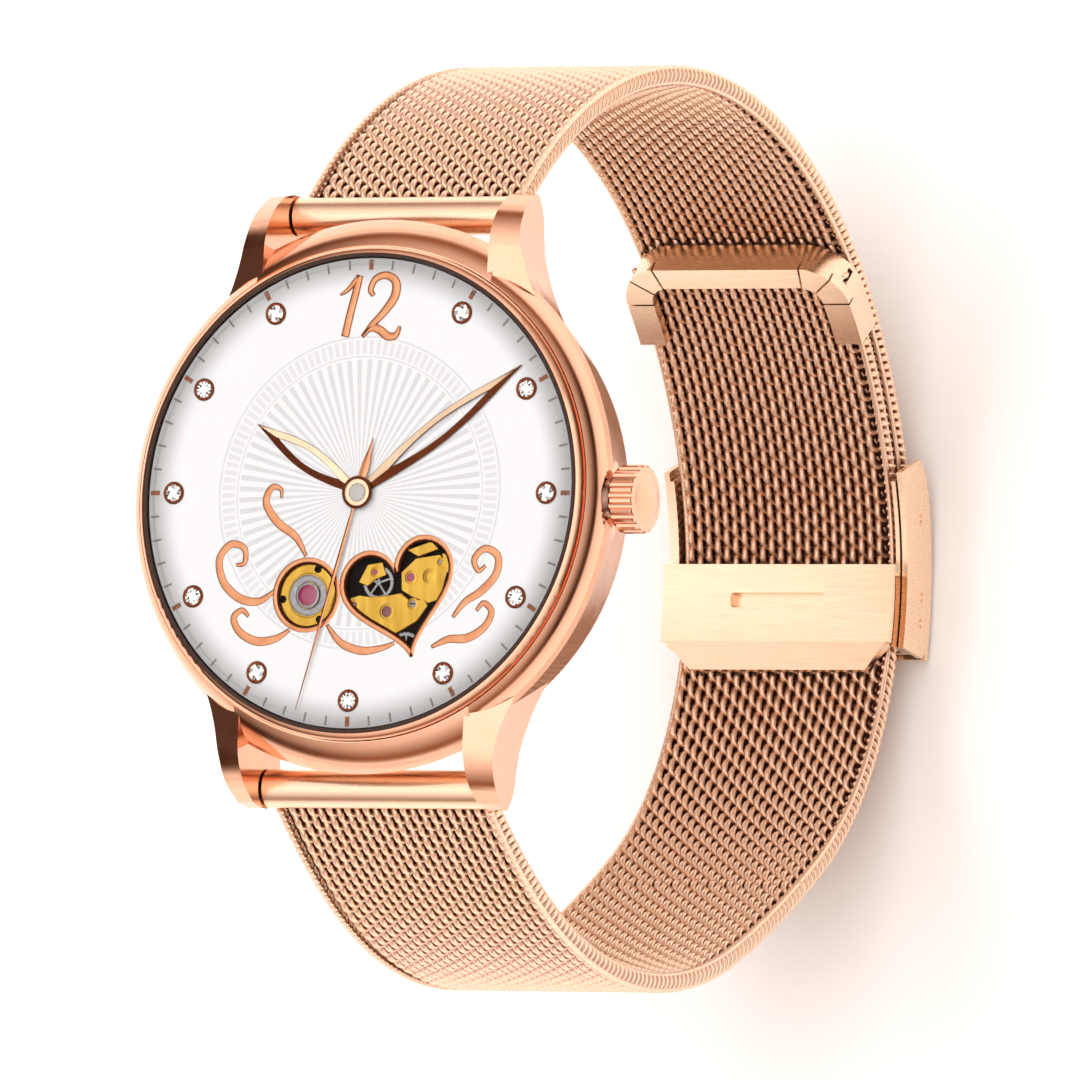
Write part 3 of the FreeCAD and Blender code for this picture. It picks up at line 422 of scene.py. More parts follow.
class Shape:
    # gathers closed forms, each face with its material's number, before they become one piece
    def __init__(self):
        self.verts = []
        self.faces = []
        self.marks = []

    def add(self, verts, faces, mark=0):
        start = len(self.verts)
        self.verts += [tuple(v) for v in verts]
        self.faces += [tuple(start + k for k in face) for face in faces]
        self.marks += [mark] * len(faces)

    def prism(self, outline, low, high, mark=0, inset=0.0):
        # outline runs anticlockwise; inset bevels the top edge
        count = len(outline)
        middle = [sum(p[k] for p in outline) / count for k in (0, 1)]
        rings = [(low, 0.0), (high - inset, 0.0), (high, inset)] if inset else [(low, 0.0), (high, 0.0)]
        verts = []
        for z, pull in rings:
            for x, y in outline:
                away = math.hypot(x - middle[0], y - middle[1]) or 1.0
                share = 1 - pull / away
                verts.append((middle[0] + (x - middle[0]) * share, middle[1] + (y - middle[1]) * share, z))
        faces = [tuple(reversed(range(count)))]
        for r in range(len(rings) - 1):
            for k in range(count):
                n = (k + 1) % count
                faces.append((r * count + k, r * count + n, (r + 1) * count + n, (r + 1) * count + k))
        faces.append(tuple((len(rings) - 1) * count + k for k in range(count)))
        self.add(verts, faces, mark)

    def turned(self, centre, profile, steps, mark=0):
        # profile is (radius, z) from the axis at the bottom, round the outside, back to the axis
        verts = []
        faces = []
        onAxis = 1e-6
        inner = [p for p in profile if p[0] > onAxis]
        for k in range(steps):
            a = 2 * math.pi * k / steps
            verts += [(centre[0] + r * math.cos(a), centre[1] + r * math.sin(a), z) for r, z in inner]
        n = len(inner)
        # first vertex of each rib and of the next
        pairs = [(k * n, (k + 1) % steps * n) for k in range(steps)]
        for a, b in pairs:
            faces += [(a + j, b + j, b + j + 1, a + j + 1) for j in range(n - 1)]
        if profile[0][0] < onAxis:
            verts.append((*centre, profile[0][1]))
            faces += [(len(verts) - 1, b, a) for a, b in pairs]
            verts.append((*centre, profile[-1][1]))
            faces += [(len(verts) - 1, a + n - 1, b + n - 1) for a, b in pairs]
        else:
            faces += [(a + n - 1, b + n - 1, b, a) for a, b in pairs]
        self.add(verts, faces, mark)

    def swept(self, line, section, closed=False, mark=0):
        # line is a list of (origin, across, up, width); section is (across, up) pairs, anticlockwise
        count = len(section)
        verts = []
        for origin, across, up, width in line:
            verts += [Vector(origin) + Vector(across) * a * width + Vector(up) * b for a, b in section]
        faces = []
        for k in range(len(line) if closed else len(line) - 1):
            m = (k + 1) % len(line)
            faces += [
                (k * count + j, k * count + (j + 1) % count, m * count + (j + 1) % count, m * count + j)
                for j in range(count)
            ]
        if not closed:
            faces.append(tuple(reversed(range(count))))
            faces.append(tuple((len(line) - 1) * count + j for j in range(count)))
        self.add(verts, faces, mark)

    def piece(self, name, materials, body, slot, smooth=True):
        made = meshPiece(name, self, materials, body, smooth)
        mesh = bmesh.new()
        mesh.from_mesh(made.data)
        bmesh.ops.recalc_face_normals(mesh, faces=mesh.faces)
        mesh.to_mesh(made.data)
        mesh.free()
        return made


def circlePoints(centre, radius, count, turn=0.0):
    steps = [turn + 2 * math.pi * k / count for k in range(count)]
    return [(centre[0] + radius * math.cos(a), centre[1] + radius * math.sin(a)) for a in steps]


# the woven straps

weave = {
    "width": 19.2,
    "core": 0.1,
    "tubeGap": 1.75,
    "pathStep": 0.36,
    "sizes": {  # millimetres, by the name of the node group's input
        "Row pitch": 0.725, "Coil pitch": 1.6, "Half length": 0.76, "Half height": 0.59, "Lean": 0.16,
        "Wire radius": 0.265, "Arch in": 8.85, "Arch out": 0.5, "Rail radius": 0.24, "Rail out": 9.1,
        "Rail up": 0.55,
    },
    "counts": {"Turns": 11, "Steps": 11, "Arch steps": 7},
}
bendCentre = (-0.098, -39.69)
barPlace = (22.25, 4.0)


def radial(heading):
    a = math.radians(heading)
    return math.sin(a), -math.cos(a)


def chainArcs(start, heading, runs):
    # arcs that carry on from one another; each is (centre, radius, first heading, last heading)
    arcs = []
    for radius, sweep in runs:
        y, z = radial(heading)
        centre = (start[0] - radius * y, start[1] - radius * z)
        arcs.append((centre, radius, heading, heading + sweep))
        heading += sweep
        y, z = radial(heading)
        start = (centre[0] + radius * y, centre[1] + radius * z)
    return arcs


def shortArcs():
    bendRadius, meet, radius = 29.25, 21.1, 41.778
    y, z = radial(meet)
    centre = (bendCentre[0] + (bendRadius - radius) * y, bendCentre[1] + (bendRadius - radius) * z)
    last = math.degrees(math.atan2(barPlace[0] - centre[0], centre[1] - barPlace[1]))
    return [(bendCentre, bendRadius, 20.5, meet), (centre, radius, meet, last)]


longRuns = [(59.15, 11), (38.3, 56), (95, 10), (27, 75.6), (39.528, 30.9)]
longPath = chainArcs((-barPlace[0], barPlace[1]), -131.5, longRuns)
shortPath = shortArcs()


def pathPoints(arcs, first, last, step):
    # (y, z, heading) every step between two distances along the arcs; last counts back from the end
    total = sum(r * math.radians(b - a) for _, r, a, b in arcs)
    count = max(2, round((total - last - first) / step))
    points = []
    for k in range(count + 1):
        along = first + (total - last - first) * k / count
        for centre, r, a, b in arcs:
            length = r * math.radians(b - a)
            if along <= length + 1e-6:
                break
            along -= length
        heading = a + math.degrees(along / r)
        y, z = radial(heading)
        points.append((centre[0] + r * y, centre[1] + r * z, heading))
    return points


def weaveTree(material):
    tree = bpy.data.node_groups.new("milaneseWeave", "GeometryNodeTree")
    face = tree.interface
    face.new_socket("Path", in_out="INPUT", socket_type="NodeSocketGeometry")
    for name in weave["sizes"]:
        face.new_socket(name, in_out="INPUT", socket_type="NodeSocketFloat")
    for name in weave["counts"]:
        face.new_socket(name, in_out="INPUT", socket_type="NodeSocketInt")
    face.new_socket("Weave", in_out="OUTPUT", socket_type="NodeSocketGeometry")
    given = tree.nodes.new("NodeGroupInput").outputs
    woven = tree.nodes.new("NodeGroupOutput").inputs[0]
    wireSides, railSides = 5, 6

    path = addNode(tree, "GeometryNodeMeshToCurve", {"Mesh": given["Path"]})
    spacing = {"Curve": path, "Length": given["Row pitch"]}
    rows = addNode(tree, "GeometryNodeResampleCurve", spacing, mode="LENGTH")
    index = tree.nodes.new("GeometryNodeInputIndex").outputs[0]
    tangent = tree.nodes.new("GeometryNodeInputTangent").outputs[0]
    tangent = addNode(tree, "ShaderNodeSeparateXYZ", tangent).node.outputs
    turn = addNode(tree, maths, tangent[2], tangent[1], operation="ARCTAN2")
    rotation = addNode(tree, "ShaderNodeCombineXYZ", {0: turn})
    rotation = addNode(tree, "FunctionNodeEulerToRotation", {0: rotation})

    def wireLine(count, x, y, z):
        line = addNode(tree, "GeometryNodeMeshLine", {"Count": count, "Offset": (0, 0, 0)})
        place = addNode(tree, "ShaderNodeCombineXYZ", {0: x, 1: y, 2: z})
        placed = addNode(tree, "GeometryNodeSetPosition", {"Geometry": line, "Position": place})
        return addNode(tree, "GeometryNodeMeshToCurve", {"Mesh": placed})

    def thicken(curve, radius, sides):
        ring = addNode(tree, "GeometryNodeCurvePrimitiveCircle", {"Resolution": sides, "Radius": radius})
        tube = {"Curve": curve, "Profile Curve": ring, "Fill Caps": True}
        return addNode(tree, "GeometryNodeCurveToMesh", tube)

    # one coil across the strap: a flattened helix whose strands lean
    share = addNode(tree, maths, index, given["Steps"], operation="DIVIDE")
    angle = addNode(tree, maths, share, 2 * math.pi, operation="MULTIPLY")
    middle = addNode(tree, maths, given["Turns"], 0.5, operation="MULTIPLY")
    across = addNode(tree, maths, share, middle, operation="SUBTRACT")
    across = addNode(tree, maths, across, given["Coil pitch"], operation="MULTIPLY")
    slant = addNode(tree, maths, angle, 2.0, operation="MULTIPLY")
    slant = addNode(tree, maths, slant, operation="SINE")
    slant = addNode(tree, maths, slant, given["Lean"], operation="MULTIPLY")
    x = addNode(tree, maths, across, slant, operation="ADD")
    y = addNode(tree, maths, angle, operation="COSINE")
    y = addNode(tree, maths, y, given["Half length"], operation="MULTIPLY")
    z = addNode(tree, maths, angle, operation="SINE")
    z = addNode(tree, maths, z, given["Half height"], operation="MULTIPLY")
    count = addNode(tree, maths, given["Turns"], given["Steps"], operation="MULTIPLY")
    count = addNode(tree, maths, count, 1.0, operation="ADD")
    coil = thicken(wireLine(count, x, y, z), given["Wire radius"], wireSides)
    each = {"Points": rows, "Instance": coil, "Rotation": rotation}
    coils = addNode(tree, "GeometryNodeInstanceOnPoints", each)
    # every other row is half a coil further across
    odd = addNode(tree, maths, index, 2.0, operation="MODULO")
    odd = addNode(tree, maths, odd, 0.5, operation="SUBTRACT")
    shift = addNode(tree, maths, given["Coil pitch"], 0.5, operation="MULTIPLY")
    shift = addNode(tree, maths, odd, shift, operation="MULTIPLY")
    shift = addNode(tree, "ShaderNodeCombineXYZ", shift)
    coils = addNode(tree, "GeometryNodeTranslateInstances", {"Instances": coils, "Translation": shift})
    made = [coils]

    # wires bent round each edge, and the smooth rails that they are brazed to
    swing = addNode(tree, maths, index, given["Arch steps"], operation="DIVIDE")
    swing = addNode(tree, maths, swing, 0.5, operation="SUBTRACT")
    bow = addNode(tree, maths, swing, math.pi, operation="MULTIPLY")
    bulge = addNode(tree, maths, bow, operation="COSINE")
    bulge = addNode(tree, maths, bulge, given["Arch out"], operation="MULTIPLY")
    bulge = addNode(tree, maths, given["Arch in"], bulge, operation="ADD")
    up = addNode(tree, maths, bow, operation="SINE")
    up = addNode(tree, maths, up, given["Half height"], operation="MULTIPLY")
    swing = addNode(tree, maths, swing, given["Row pitch"], operation="MULTIPLY")
    ends = addNode(tree, maths, given["Arch steps"], 1.0, operation="ADD")
    railAlong = addNode(tree, maths, tangent[2], given["Rail up"], operation="MULTIPLY")
    railRise = addNode(tree, maths, tangent[1], given["Rail up"], operation="MULTIPLY")
    for side in (-1, 1):
        out = addNode(tree, maths, bulge, side, operation="MULTIPLY")
        along = addNode(tree, maths, swing, side, operation="MULTIPLY")
        arch = thicken(wireLine(ends, out, along, up), given["Wire radius"], wireSides)
        each = {"Points": rows, "Instance": arch, "Rotation": rotation}
        made.append(addNode(tree, "GeometryNodeInstanceOnPoints", each))
        for level in (-1, 1):
            out = addNode(tree, maths, given["Rail out"], side, operation="MULTIPLY")
            along = addNode(tree, maths, railAlong, -level, operation="MULTIPLY")
            rise = addNode(tree, maths, railRise, level, operation="MULTIPLY")
            offset = addNode(tree, "ShaderNodeCombineXYZ", out, along, rise)
            rail = addNode(tree, "GeometryNodeSetPosition", {"Geometry": rows, "Offset": offset})
            made.append(thicken(rail, given["Rail radius"], railSides))

    join = tree.nodes.new("GeometryNodeJoinGeometry")
    for geometry in made:
        tree.links.new(geometry, join.inputs[0])
    real = addNode(tree, "GeometryNodeRealizeInstances", {0: join.outputs[0]})
    painted = addNode(tree, "GeometryNodeSetMaterial", {"Geometry": real, "Material": material})
    tree.links.new(painted, woven)
    return tree


def weavePiece(name, tree, arcs, first, last, body):
    points = pathPoints(arcs, first, last, weave["pathStep"])
    data = bpy.data.meshes.new(name + "Path")
    links = [(k, k + 1) for k in range(len(points) - 1)]
    data.from_pydata([(0, y * mm, z * mm) for y, z, _ in points], links, [])
    path = addObject(name + "Path", data)
    modifier = path.modifiers.new("weave", "NODES")
    modifier.node_group = tree
    sizes = {name: size * mm for name, size in weave["sizes"].items()} | weave["counts"]
    for item in tree.interface.items_tree:
        if item.in_out == "INPUT" and item.name in sizes:
            modifier[item.identifier] = sizes[item.name]
    path.update_tag()
    graph = bpy.context.evaluated_depsgraph_get()
    made = bpy.data.meshes.new_from_object(path.evaluated_get(graph))
    made.name = name
    bpy.data.objects.remove(path)
    made.polygons.foreach_set("use_smooth", [True] * len(made.polygons))
    piece = addObject(name, made)
    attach(piece, body)
    return piece


def strapShadowSheet(name, arcs, first, last, body):
    # a dark sheet through the middle of the weave: painted shadow for its unlit depth
    half = weave["core"] / 2
    wide = weave["width"] / 2 - 0.75
    line = []
    for y, z, heading in pathPoints(arcs, first, last, 1.4):
        ny, nz = radial(heading)
        line.append(((0, y, z), (1, 0, 0), (0, ny, nz), 1.0))
    core = Shape()
    core.swept(line, [(-wide, -half), (wide, -half), (wide, half), (-wide, half)])
    return core.piece(name, [paintedWeaveShadow], body, "rose_gold_mesh")


def makeStraps():
    tree = weaveTree(roseGoldWire)
    longTotal = sum(r * math.radians(b - a) for _, r, a, b in longPath)
    gap = weave["tubeGap"]
    halfway = longTotal * 0.5
    shortFirst = 0.35
    # each strap carries a dark sheet of painted shadow inside its weave
    lower = [
        weavePiece("lowerWeaveBack", tree, longPath, gap, longTotal - halfway, "lower_strap"),
        weavePiece("lowerWeaveTail", tree, longPath, halfway + 0.3, 2.35, "lower_strap"),
        strapShadowSheet("lowerWeavePaintedShadow", longPath, gap - 0.2, 2.25, "lower_strap"),
    ]
    upper = [
        weavePiece("upperWeave", tree, shortPath, shortFirst, gap, "upper_strap"),
        strapShadowSheet("upperWeavePaintedShadow", shortPath, 0.1, gap - 0.2, "upper_strap"),
    ]
    for piece in lower:
        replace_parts(piece, "lower_mesh_strap")
    for piece in upper:
        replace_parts(piece, "upper_mesh_strap")
    print("stage: straps", sum(len(p.data.polygons) for p in lower + upper), "faces")


makeStraps()


# the dial

dial = {
    "top": 10.2,
    "low": 9.6,
    "pocket": 9.74,
    "radius": 18.2,
    "frameTop": 10.228,
    "roundWindow": (-4.1, -7.9),
    "roundRadius": 2.75,
    "heartCentre": (4.1, -8.35),
    "heartWide": 9.6,
    "heartTall": 8.9,
    "heartTurn": 15,
    "frameHalf": 0.31,
    "edge": 0.07,
    "edgeRise": 0.008,
    "tickIn": 17.35,
    "tickOut": 18.08,
    "tickWide": 0.17,
    "hourTickWide": 0.36,
    "stoneRing": 16.07,
    "stoneBezel": 0.875,
    "stoneRadius": 0.66,
    "stoneTop": 10.34,
    "stoneSides": 16,
    "sunk": 0.02,  # how far all that stands on the dial reaches into it
}


def heartPoints(count=64):
    # the plain curve is 32 wide and 29 tall, and its middle is 2.5 below its origin
    points = []
    turn = math.radians(dial["heartTurn"])
    for k in range(count):
        t = 2 * math.pi * (k + 0.5) / count
        x = 16 * math.sin(t) ** 3
        y = 13 * math.cos(t) - 5 * math.cos(2 * t) - 2 * math.cos(3 * t) - math.cos(4 * t)
        x *= dial["heartWide"] / 32
        y = (y + 2.5) * dial["heartTall"] / 29
        points.append((
            dial["heartCentre"][0] + x * math.cos(turn) - y * math.sin(turn),
            dial["heartCentre"][1] + x * math.sin(turn) + y * math.cos(turn),
        ))
    return list(reversed(points))


def smoothLine(points, steps=8):
    # a curve through the points, with each value carried along
    made = []
    for k in range(len(points) - 1):
        p = [points[max(0, min(len(points) - 1, k + j))] for j in (-1, 0, 1, 2)]
        for s in range(steps):
            t = s / steps
            made.append(tuple(
                0.5 * (2 * b + (c - a) * t + (2 * a - 5 * b + 4 * c - d) * t * t
                       + (3 * b - a - 3 * c + d) * t ** 3)
                for a, b, c, d in zip(*p)
            ))
    made.append(tuple(points[-1]))
    return made


def ribbon(shape, points, low, high, closed=False, mark=0):
    # points are (x, y, half width); the top is rounded across
    line = []
    count = len(points)
    for k, (x, y, half) in enumerate(points):
        before = points[(k - 1) % count] if closed or k else points[0]
        after = points[(k + 1) % count] if closed or k < count - 1 else points[-1]
        way = Vector((after[0] - before[0], after[1] - before[1], 0)).normalized()
        line.append(((x, y, 0), (way.y, -way.x, 0), (0, 0, 1), half))
    rise = high - low
    side, brow = high - rise * 0.55, high - rise * 0.18
    section = [(-1, low), (1, low), (1, side), (0.8, brow), (0.4, high)]
    section += [(-0.4, high), (-0.8, brow), (-1, side)]
    shape.swept(line, section, closed, mark)


def outlinedRibbon(shape, points, low, high, closed=False):
    # the applied art stands on a thin dark edge of painted shade round its sides
    ribbon(shape, points, low, high, closed)
    wider = [(x, y, half + dial["edge"]) for x, y, half in points]
    ribbon(shape, wider, low, dial["top"] + dial["edgeRise"], closed, 1)


def flatPlate(name, outlines, low, high, material, body):
    # a plate with holes, filled as a flat curve
    curve = bpy.data.curves.new(name, "CURVE")
    curve.dimensions = "2D"
    curve.fill_mode = "BOTH"
    curve.extrude = (high - low) / 2
    for outline in outlines:
        spline = curve.splines.new("POLY")
        spline.points.add(len(outline) - 1)
        for point, (x, y) in zip(spline.points, outline):
            point.co = (x, y, 0, 1)
        spline.use_cyclic_u = True
    holder = addObject(name + "Curve", curve)
    graph = bpy.context.evaluated_depsgraph_get()
    data = bpy.data.meshes.new_from_object(holder.evaluated_get(graph))
    bpy.data.objects.remove(holder)
    data.name = name
    mesh = bmesh.new()
    mesh.from_mesh(data)
    bmesh.ops.remove_doubles(mesh, verts=mesh.verts, dist=1e-5)
    for vert in mesh.verts:
        vert.co = Vector((vert.co.x, vert.co.y, vert.co.z + (low + high) / 2)) * mm
    bmesh.ops.recalc_face_normals(mesh, faces=mesh.faces)
    mesh.to_mesh(data)
    mesh.free()
    data.materials.clear()
    data.materials.append(material)
    data.polygons.foreach_set("use_smooth", [False] * len(data.polygons))
    piece = addObject(name, data)
    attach(piece, body)
    return piece


def polar(radius, clockwise, middle=(0.0, 0.0)):
    a = math.radians(clockwise)
    return middle[0] + radius * math.sin(a), middle[1] + radius * math.cos(a)


def bar(shape, inner, outer, clockwise, half, low, high, mark=0):
    a = math.radians(clockwise)
    along = (math.sin(a), math.cos(a))
    aside = (math.cos(a), -math.sin(a))
    corners = [(inner, half), (outer, half), (outer, -half), (inner, -half)]
    outline = [(r * along[0] + s * aside[0], r * along[1] + s * aside[1]) for r, s in corners]
    shape.prism(outline, low, high, mark)


def makeDial():
    roundHole = circlePoints(dial["roundWindow"], dial["roundRadius"], 48)
    plate = flatPlate(
        "enamelDial", [circlePoints((0, 0), dial["radius"], 128), roundHole, heartPoints()],
        dial["pocket"], dial["top"], slotMaterials["dial_white"], "case",
    )
    backing = flatPlate(
        "dialBacking", [circlePoints((0, 0), dial["radius"] - 0.1, 96)], dial["low"], dial["pocket"] - 0.001,
        pocketBlack, "case",
    )
    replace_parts(plate, "dial_face")
    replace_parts(backing, "dial_face")

    top = dial["top"]
    base = top - dial["sunk"]
    ticks = Shape()
    for k in range(60):
        inner, half, high, mark = dial["tickIn"], dial["tickWide"] / 2, top + 0.012, 0
        if k % 5 == 0:
            inner, half, high, mark = dial["tickIn"] - 0.05, dial["hourTickWide"] / 2, top + 0.02, 1
        bar(ticks, inner, dial["tickOut"], 6 * k, half, base, high, mark)
    ticks.piece("minuteTicks", [tickGrey, tickBrown], "case", "dial_white", False)

    stones = Shape()
    for hour in range(1, 12):
        middle = polar(dial["stoneRing"], 30 * hour)
        bezel, radius, high = dial["stoneBezel"], dial["stoneRadius"], dial["stoneTop"]
        stones.turned(middle, [(radius - 0.04, base), (bezel, base), (bezel, high - 0.06),
                               (bezel - 0.08, high - 0.005), (radius, high - 0.02)], 28, 0)
        for k in range(4):
            at = polar(radius + 0.02, 45 + 90 * k + 8 * hour, middle)
            stones.turned(at, [(0, top), (0.13, top), (0.13, high - 0.03), (0.07, high), (0, high)], 8, 0)
        # the cut stone: a ring of sides, then facets from its rim to a table half as wide
        sides = dial["stoneSides"]
        half = sides // 2
        rim = circlePoints(middle, radius, sides, 0.2 * hour)
        table = circlePoints(middle, radius * 0.5, half, 0.2 * hour)
        verts = [(x, y, base) for x, y in rim] + [(x, y, high - 0.07) for x, y in rim]
        verts += [(x, y, high - 0.015) for x, y in table]
        faces = [tuple(reversed(range(sides)))]
        faces += [(k, (k + 1) % sides, sides + (k + 1) % sides, sides + k) for k in range(sides)]
        stones.add(verts, faces, 1)
        start = len(stones.verts) - len(verts)
        flat = start + 2 * sides
        # each facet takes a painted highlight, a grey or a painted shade, in a fixed turn
        for k in range(half):
            a, b, c = (start + sides + (2 * k + j) % sides for j in range(3))
            n = (k + 1) % half
            stones.faces += [(a, b, flat + k), (b, flat + n, flat + k), (b, c, flat + n)]
            stones.marks += [(1, 2, 1, 3)[(k + hour) % 4], (2, 1, 3, 1)[(k + hour) % 4], (1, 2)[k % 2]]
        stones.faces.append(tuple(flat + k for k in range(half)))
        stones.marks.append(1)
    # bezels and prongs in the painted dark reflection of the trim, the facets in painted highlight and shade
    stoneTones = [roseGoldShade, stoneFacetHighlight, stoneFacetGreyShade, stoneFacetShade]
    stones.piece("hourStones", stoneTones, "case", "dial_white", False)

    art = Shape()
    low = dial["pocket"] + 0.1
    high = dial["frameTop"]
    half = dial["frameHalf"]
    for window in (roundHole, heartPoints()):
        outlinedRibbon(art, [(x, y, half) for x, y in window], low, high, True)
    # plain scrolls and leaves either side of the windows
    scrolls = [
        [(8.6, -9.6, 0.12), (9.6, -8.4, 0.26), (10.9, -7.6, 0.32), (12.1, -6.3, 0.32), (12.2, -4.9, 0.3),
         (11.1, -4.3, 0.28), (10.2, -5.1, 0.24), (10.6, -6.0, 0.18), (11.2, -5.6, 0.1)],
        [(6.9, -11.9, 0.1), (8.3, -11.3, 0.28), (9.9, -11.2, 0.34), (11.3, -10.4, 0.3), (11.9, -9.2, 0.26),
         (11.2, -8.5, 0.2), (10.6, -9.1, 0.1)],
        [(-6.9, -7.6, 0.12), (-8.2, -8.4, 0.28), (-9.8, -8.2, 0.34), (-11.3, -7.0, 0.32), (-11.8, -5.2, 0.3),
         (-10.9, -4.0, 0.28), (-9.7, -4.3, 0.24), (-9.6, -5.4, 0.18), (-10.3, -5.6, 0.1)],
        [(-5.4, -10.6, 0.1), (-6.6, -11.3, 0.28), (-8.2, -11.5, 0.34), (-9.7, -10.8, 0.3),
         (-10.3, -9.7, 0.26), (-9.6, -9.1, 0.2), (-9.0, -9.6, 0.1)],
        [(-2.2, -10.2, 0.1), (-0.9, -11.6, 0.28), (0.9, -12.2, 0.32), (2.6, -12.0, 0.22), (3.7, -11.6, 0.1)],
        [(-4.3, -4.9, 0.1), (-5.3, -3.4, 0.28), (-6.9, -2.3, 0.34), (-8.0, -0.8, 0.3), (-7.6, 0.4, 0.24),
         (-6.8, 0.3, 0.14), (-6.7, -0.4, 0.08)],
    ]
    for points in scrolls:
        outlinedRibbon(art, smoothLine(points), base, high)
    art.piece("dialScrolls", [artGold, paintedShadeBevel], "case", "rose_gold_case")

    # a slanted 12 at the top of the dial
    numeral = Shape()
    digits = [
        [(-2.55, 15.35, 0.05), (-1.9, 15.75, 0.16), (-1.2, 16.55, 0.2), (-0.95, 16.85, 0.12)],
        [(-0.95, 16.85, 0.3), (-1.25, 15.4, 0.32), (-1.6, 13.9, 0.33), (-1.95, 12.1, 0.34)],
        [(0.35, 15.3, 0.16), (0.05, 15.75, 0.24), (0.45, 16.6, 0.26), (1.4, 16.85, 0.3), (2.2, 16.3, 0.36),
         (2.15, 15.2, 0.38), (1.3, 14.0, 0.32), (0.3, 13.0, 0.24), (-0.45, 12.1, 0.14)],
        [(-0.45, 12.1, 0.1), (0.2, 12.75, 0.26), (0.95, 12.65, 0.34), (1.7, 12.15, 0.34), (2.4, 12.2, 0.26),
         (2.75, 12.9, 0.1)],
    ]
    for points in digits:
        outlinedRibbon(numeral, smoothLine(points), base, top + 0.12)
    numeral.piece("dialTwelve", [artGold, paintedShadeBevel], "case", "rose_gold_case")
    print("stage: dial")


makeDial()


# the movement seen through the windows

movement = {"floor": 9.735, "jewelTop": 10.1}


def makeMovement():
    works = Shape()
    floor = movement["floor"]
    gold, black, steel, ruby, deep = 0, 1, 2, 3, 4
    middle = dial["roundWindow"]
    # a dished gilt plate, two steel rings and a domed jewel, from the outside in
    for profile, steps, kind in (
        ([(0, floor), (2.7, floor), (2.7, 9.86), (2.6, 9.9), (1.75, 9.9), (1.7, 9.86), (0, 9.86)], 40, gold),
        ([(1.05, floor), (1.6, floor), (1.6, 9.96), (1.5, 10.0), (1.15, 10.0), (1.05, 9.96)], 36, steel),
        ([(0.8, floor), (1.0, floor), (1.0, 10.02), (0.92, 10.05), (0.82, 10.05), (0.8, 10.0)], 32, steel),
        ([(0, floor), (0.78, floor), (0.78, 9.98), (0.5, 10.07), (0, movement["jewelTop"])], 28, ruby),
    ):
        works.turned(middle, profile, steps, kind)
    for turn, reach in ((150, 2.15), (262, 2.2), (20, 2.15)):
        screw = [(0, floor), (0.3, floor), (0.3, 9.95), (0, 9.98)]
        works.turned(polar(reach, turn, middle), screw, 14, black)
    # bridges under the heart, each a stepped plate
    bridges = [
        ([(-0.6, -9.6), (1.2, -11.2), (3.4, -11.0), (5.4, -9.9), (6.3, -8.7), (6.0, -8.2), (4.7, -8.3),
          (3.9, -7.7), (2.6, -7.9), (1.2, -8.0), (0.3, -7.9), (-0.7, -8.2)], 9.95),
        ([(3.9, -7.5), (3.8, -6.1), (5.0, -5.0), (7.1, -4.7), (7.9, -5.6), (7.3, -8.2), (6.3, -8.5),
          (4.8, -8.0)], 9.9),
        ([(7.3, -4.6), (8.4, -4.8), (8.7, -6.6), (8.0, -8.0), (7.6, -7.9), (7.9, -6.2)], 10.02),
        ([(0.2, -6.9), (0.9, -5.5), (2.2, -5.3), (2.6, -6.3), (1.6, -6.7), (1.0, -7.2)], 9.93),
        ([(4.3, -4.4), (6.4, -3.7), (7.0, -4.3), (5.2, -4.9)], 10.0),
    ]
    for outline, height in bridges:
        works.prism(list(reversed(outline)), floor, height, gold, 0.07)
    for x, y, radius, kind, height in (
        (2.8, -9.15, 0.5, deep, 10.06), (4.7, -6.5, 0.4, ruby, 10.02), (-0.1, -8.7, 0.38, deep, 10.04),
        (5.0, -8.55, 0.34, steel, 10.03), (6.3, -6.4, 0.48, gold, 9.98), (7.2, -5.3, 0.2, steel, 9.98),
        (1.6, -6.1, 0.26, ruby, 10.0),
    ):
        cup, sunk = radius + 0.14, height - 0.05
        works.turned((x, y), [(0, floor), (cup, floor), (cup, height - 0.07), (radius, height - 0.03),
                              (radius - 0.01, sunk), (0, sunk)], 24, gold)
        seat = height - 0.06
        dome = [(0, seat), (radius - 0.03, seat), (radius * 0.6, height - 0.01), (0, height)]
        works.turned((x, y), dome, 20, kind)
    works.prism([(4.76, -8.6), (5.24, -8.6), (5.24, -8.5), (4.76, -8.5)], 9.9, 10.035, black)
    # a spoked wheel near the heart's point and a balance wheel at its shoulder
    low = floor + 0.05
    for middle, radius, teeth in (((4.5, -12.1), 1.35, 26), ((1.9, -6.9), 1.25, 30)):
        inner = radius - 0.22
        works.turned(middle, [(inner, low), (radius, low), (radius, 9.86), (inner, 9.86)], 36, steel)
        works.turned(middle, [(0, floor), (0.22, floor), (0.22, 9.92), (0, 9.94)], 14, steel)
        for k in range(5):
            a = 2 * math.pi * k / 5 + 0.3
            along, aside = (math.cos(a), math.sin(a)), (-math.sin(a), math.cos(a))
            corners = [(0.15, -0.07), (radius - 0.1, -0.07), (radius - 0.1, 0.07), (0.15, 0.07)]
            spoke = [[middle[j] + r * along[j] + s * aside[j] for j in (0, 1)] for r, s in corners]
            works.prism(spoke, low, 9.85, steel)
        for k in range(teeth):
            a = 2 * math.pi * k / teeth
            tooth = (middle[0] + radius * math.cos(a), middle[1] + radius * math.sin(a))
            works.prism(circlePoints(tooth, 0.07, 5, a), low, 9.84, steel)
    tones = [movementBrass, pocketBlack, wheelSteel, rubyJewel, deepRuby]
    works.piece("movementWorks", tones, "case", "rose_gold_case", False)
    print("stage: movement")


makeMovement()


# hands

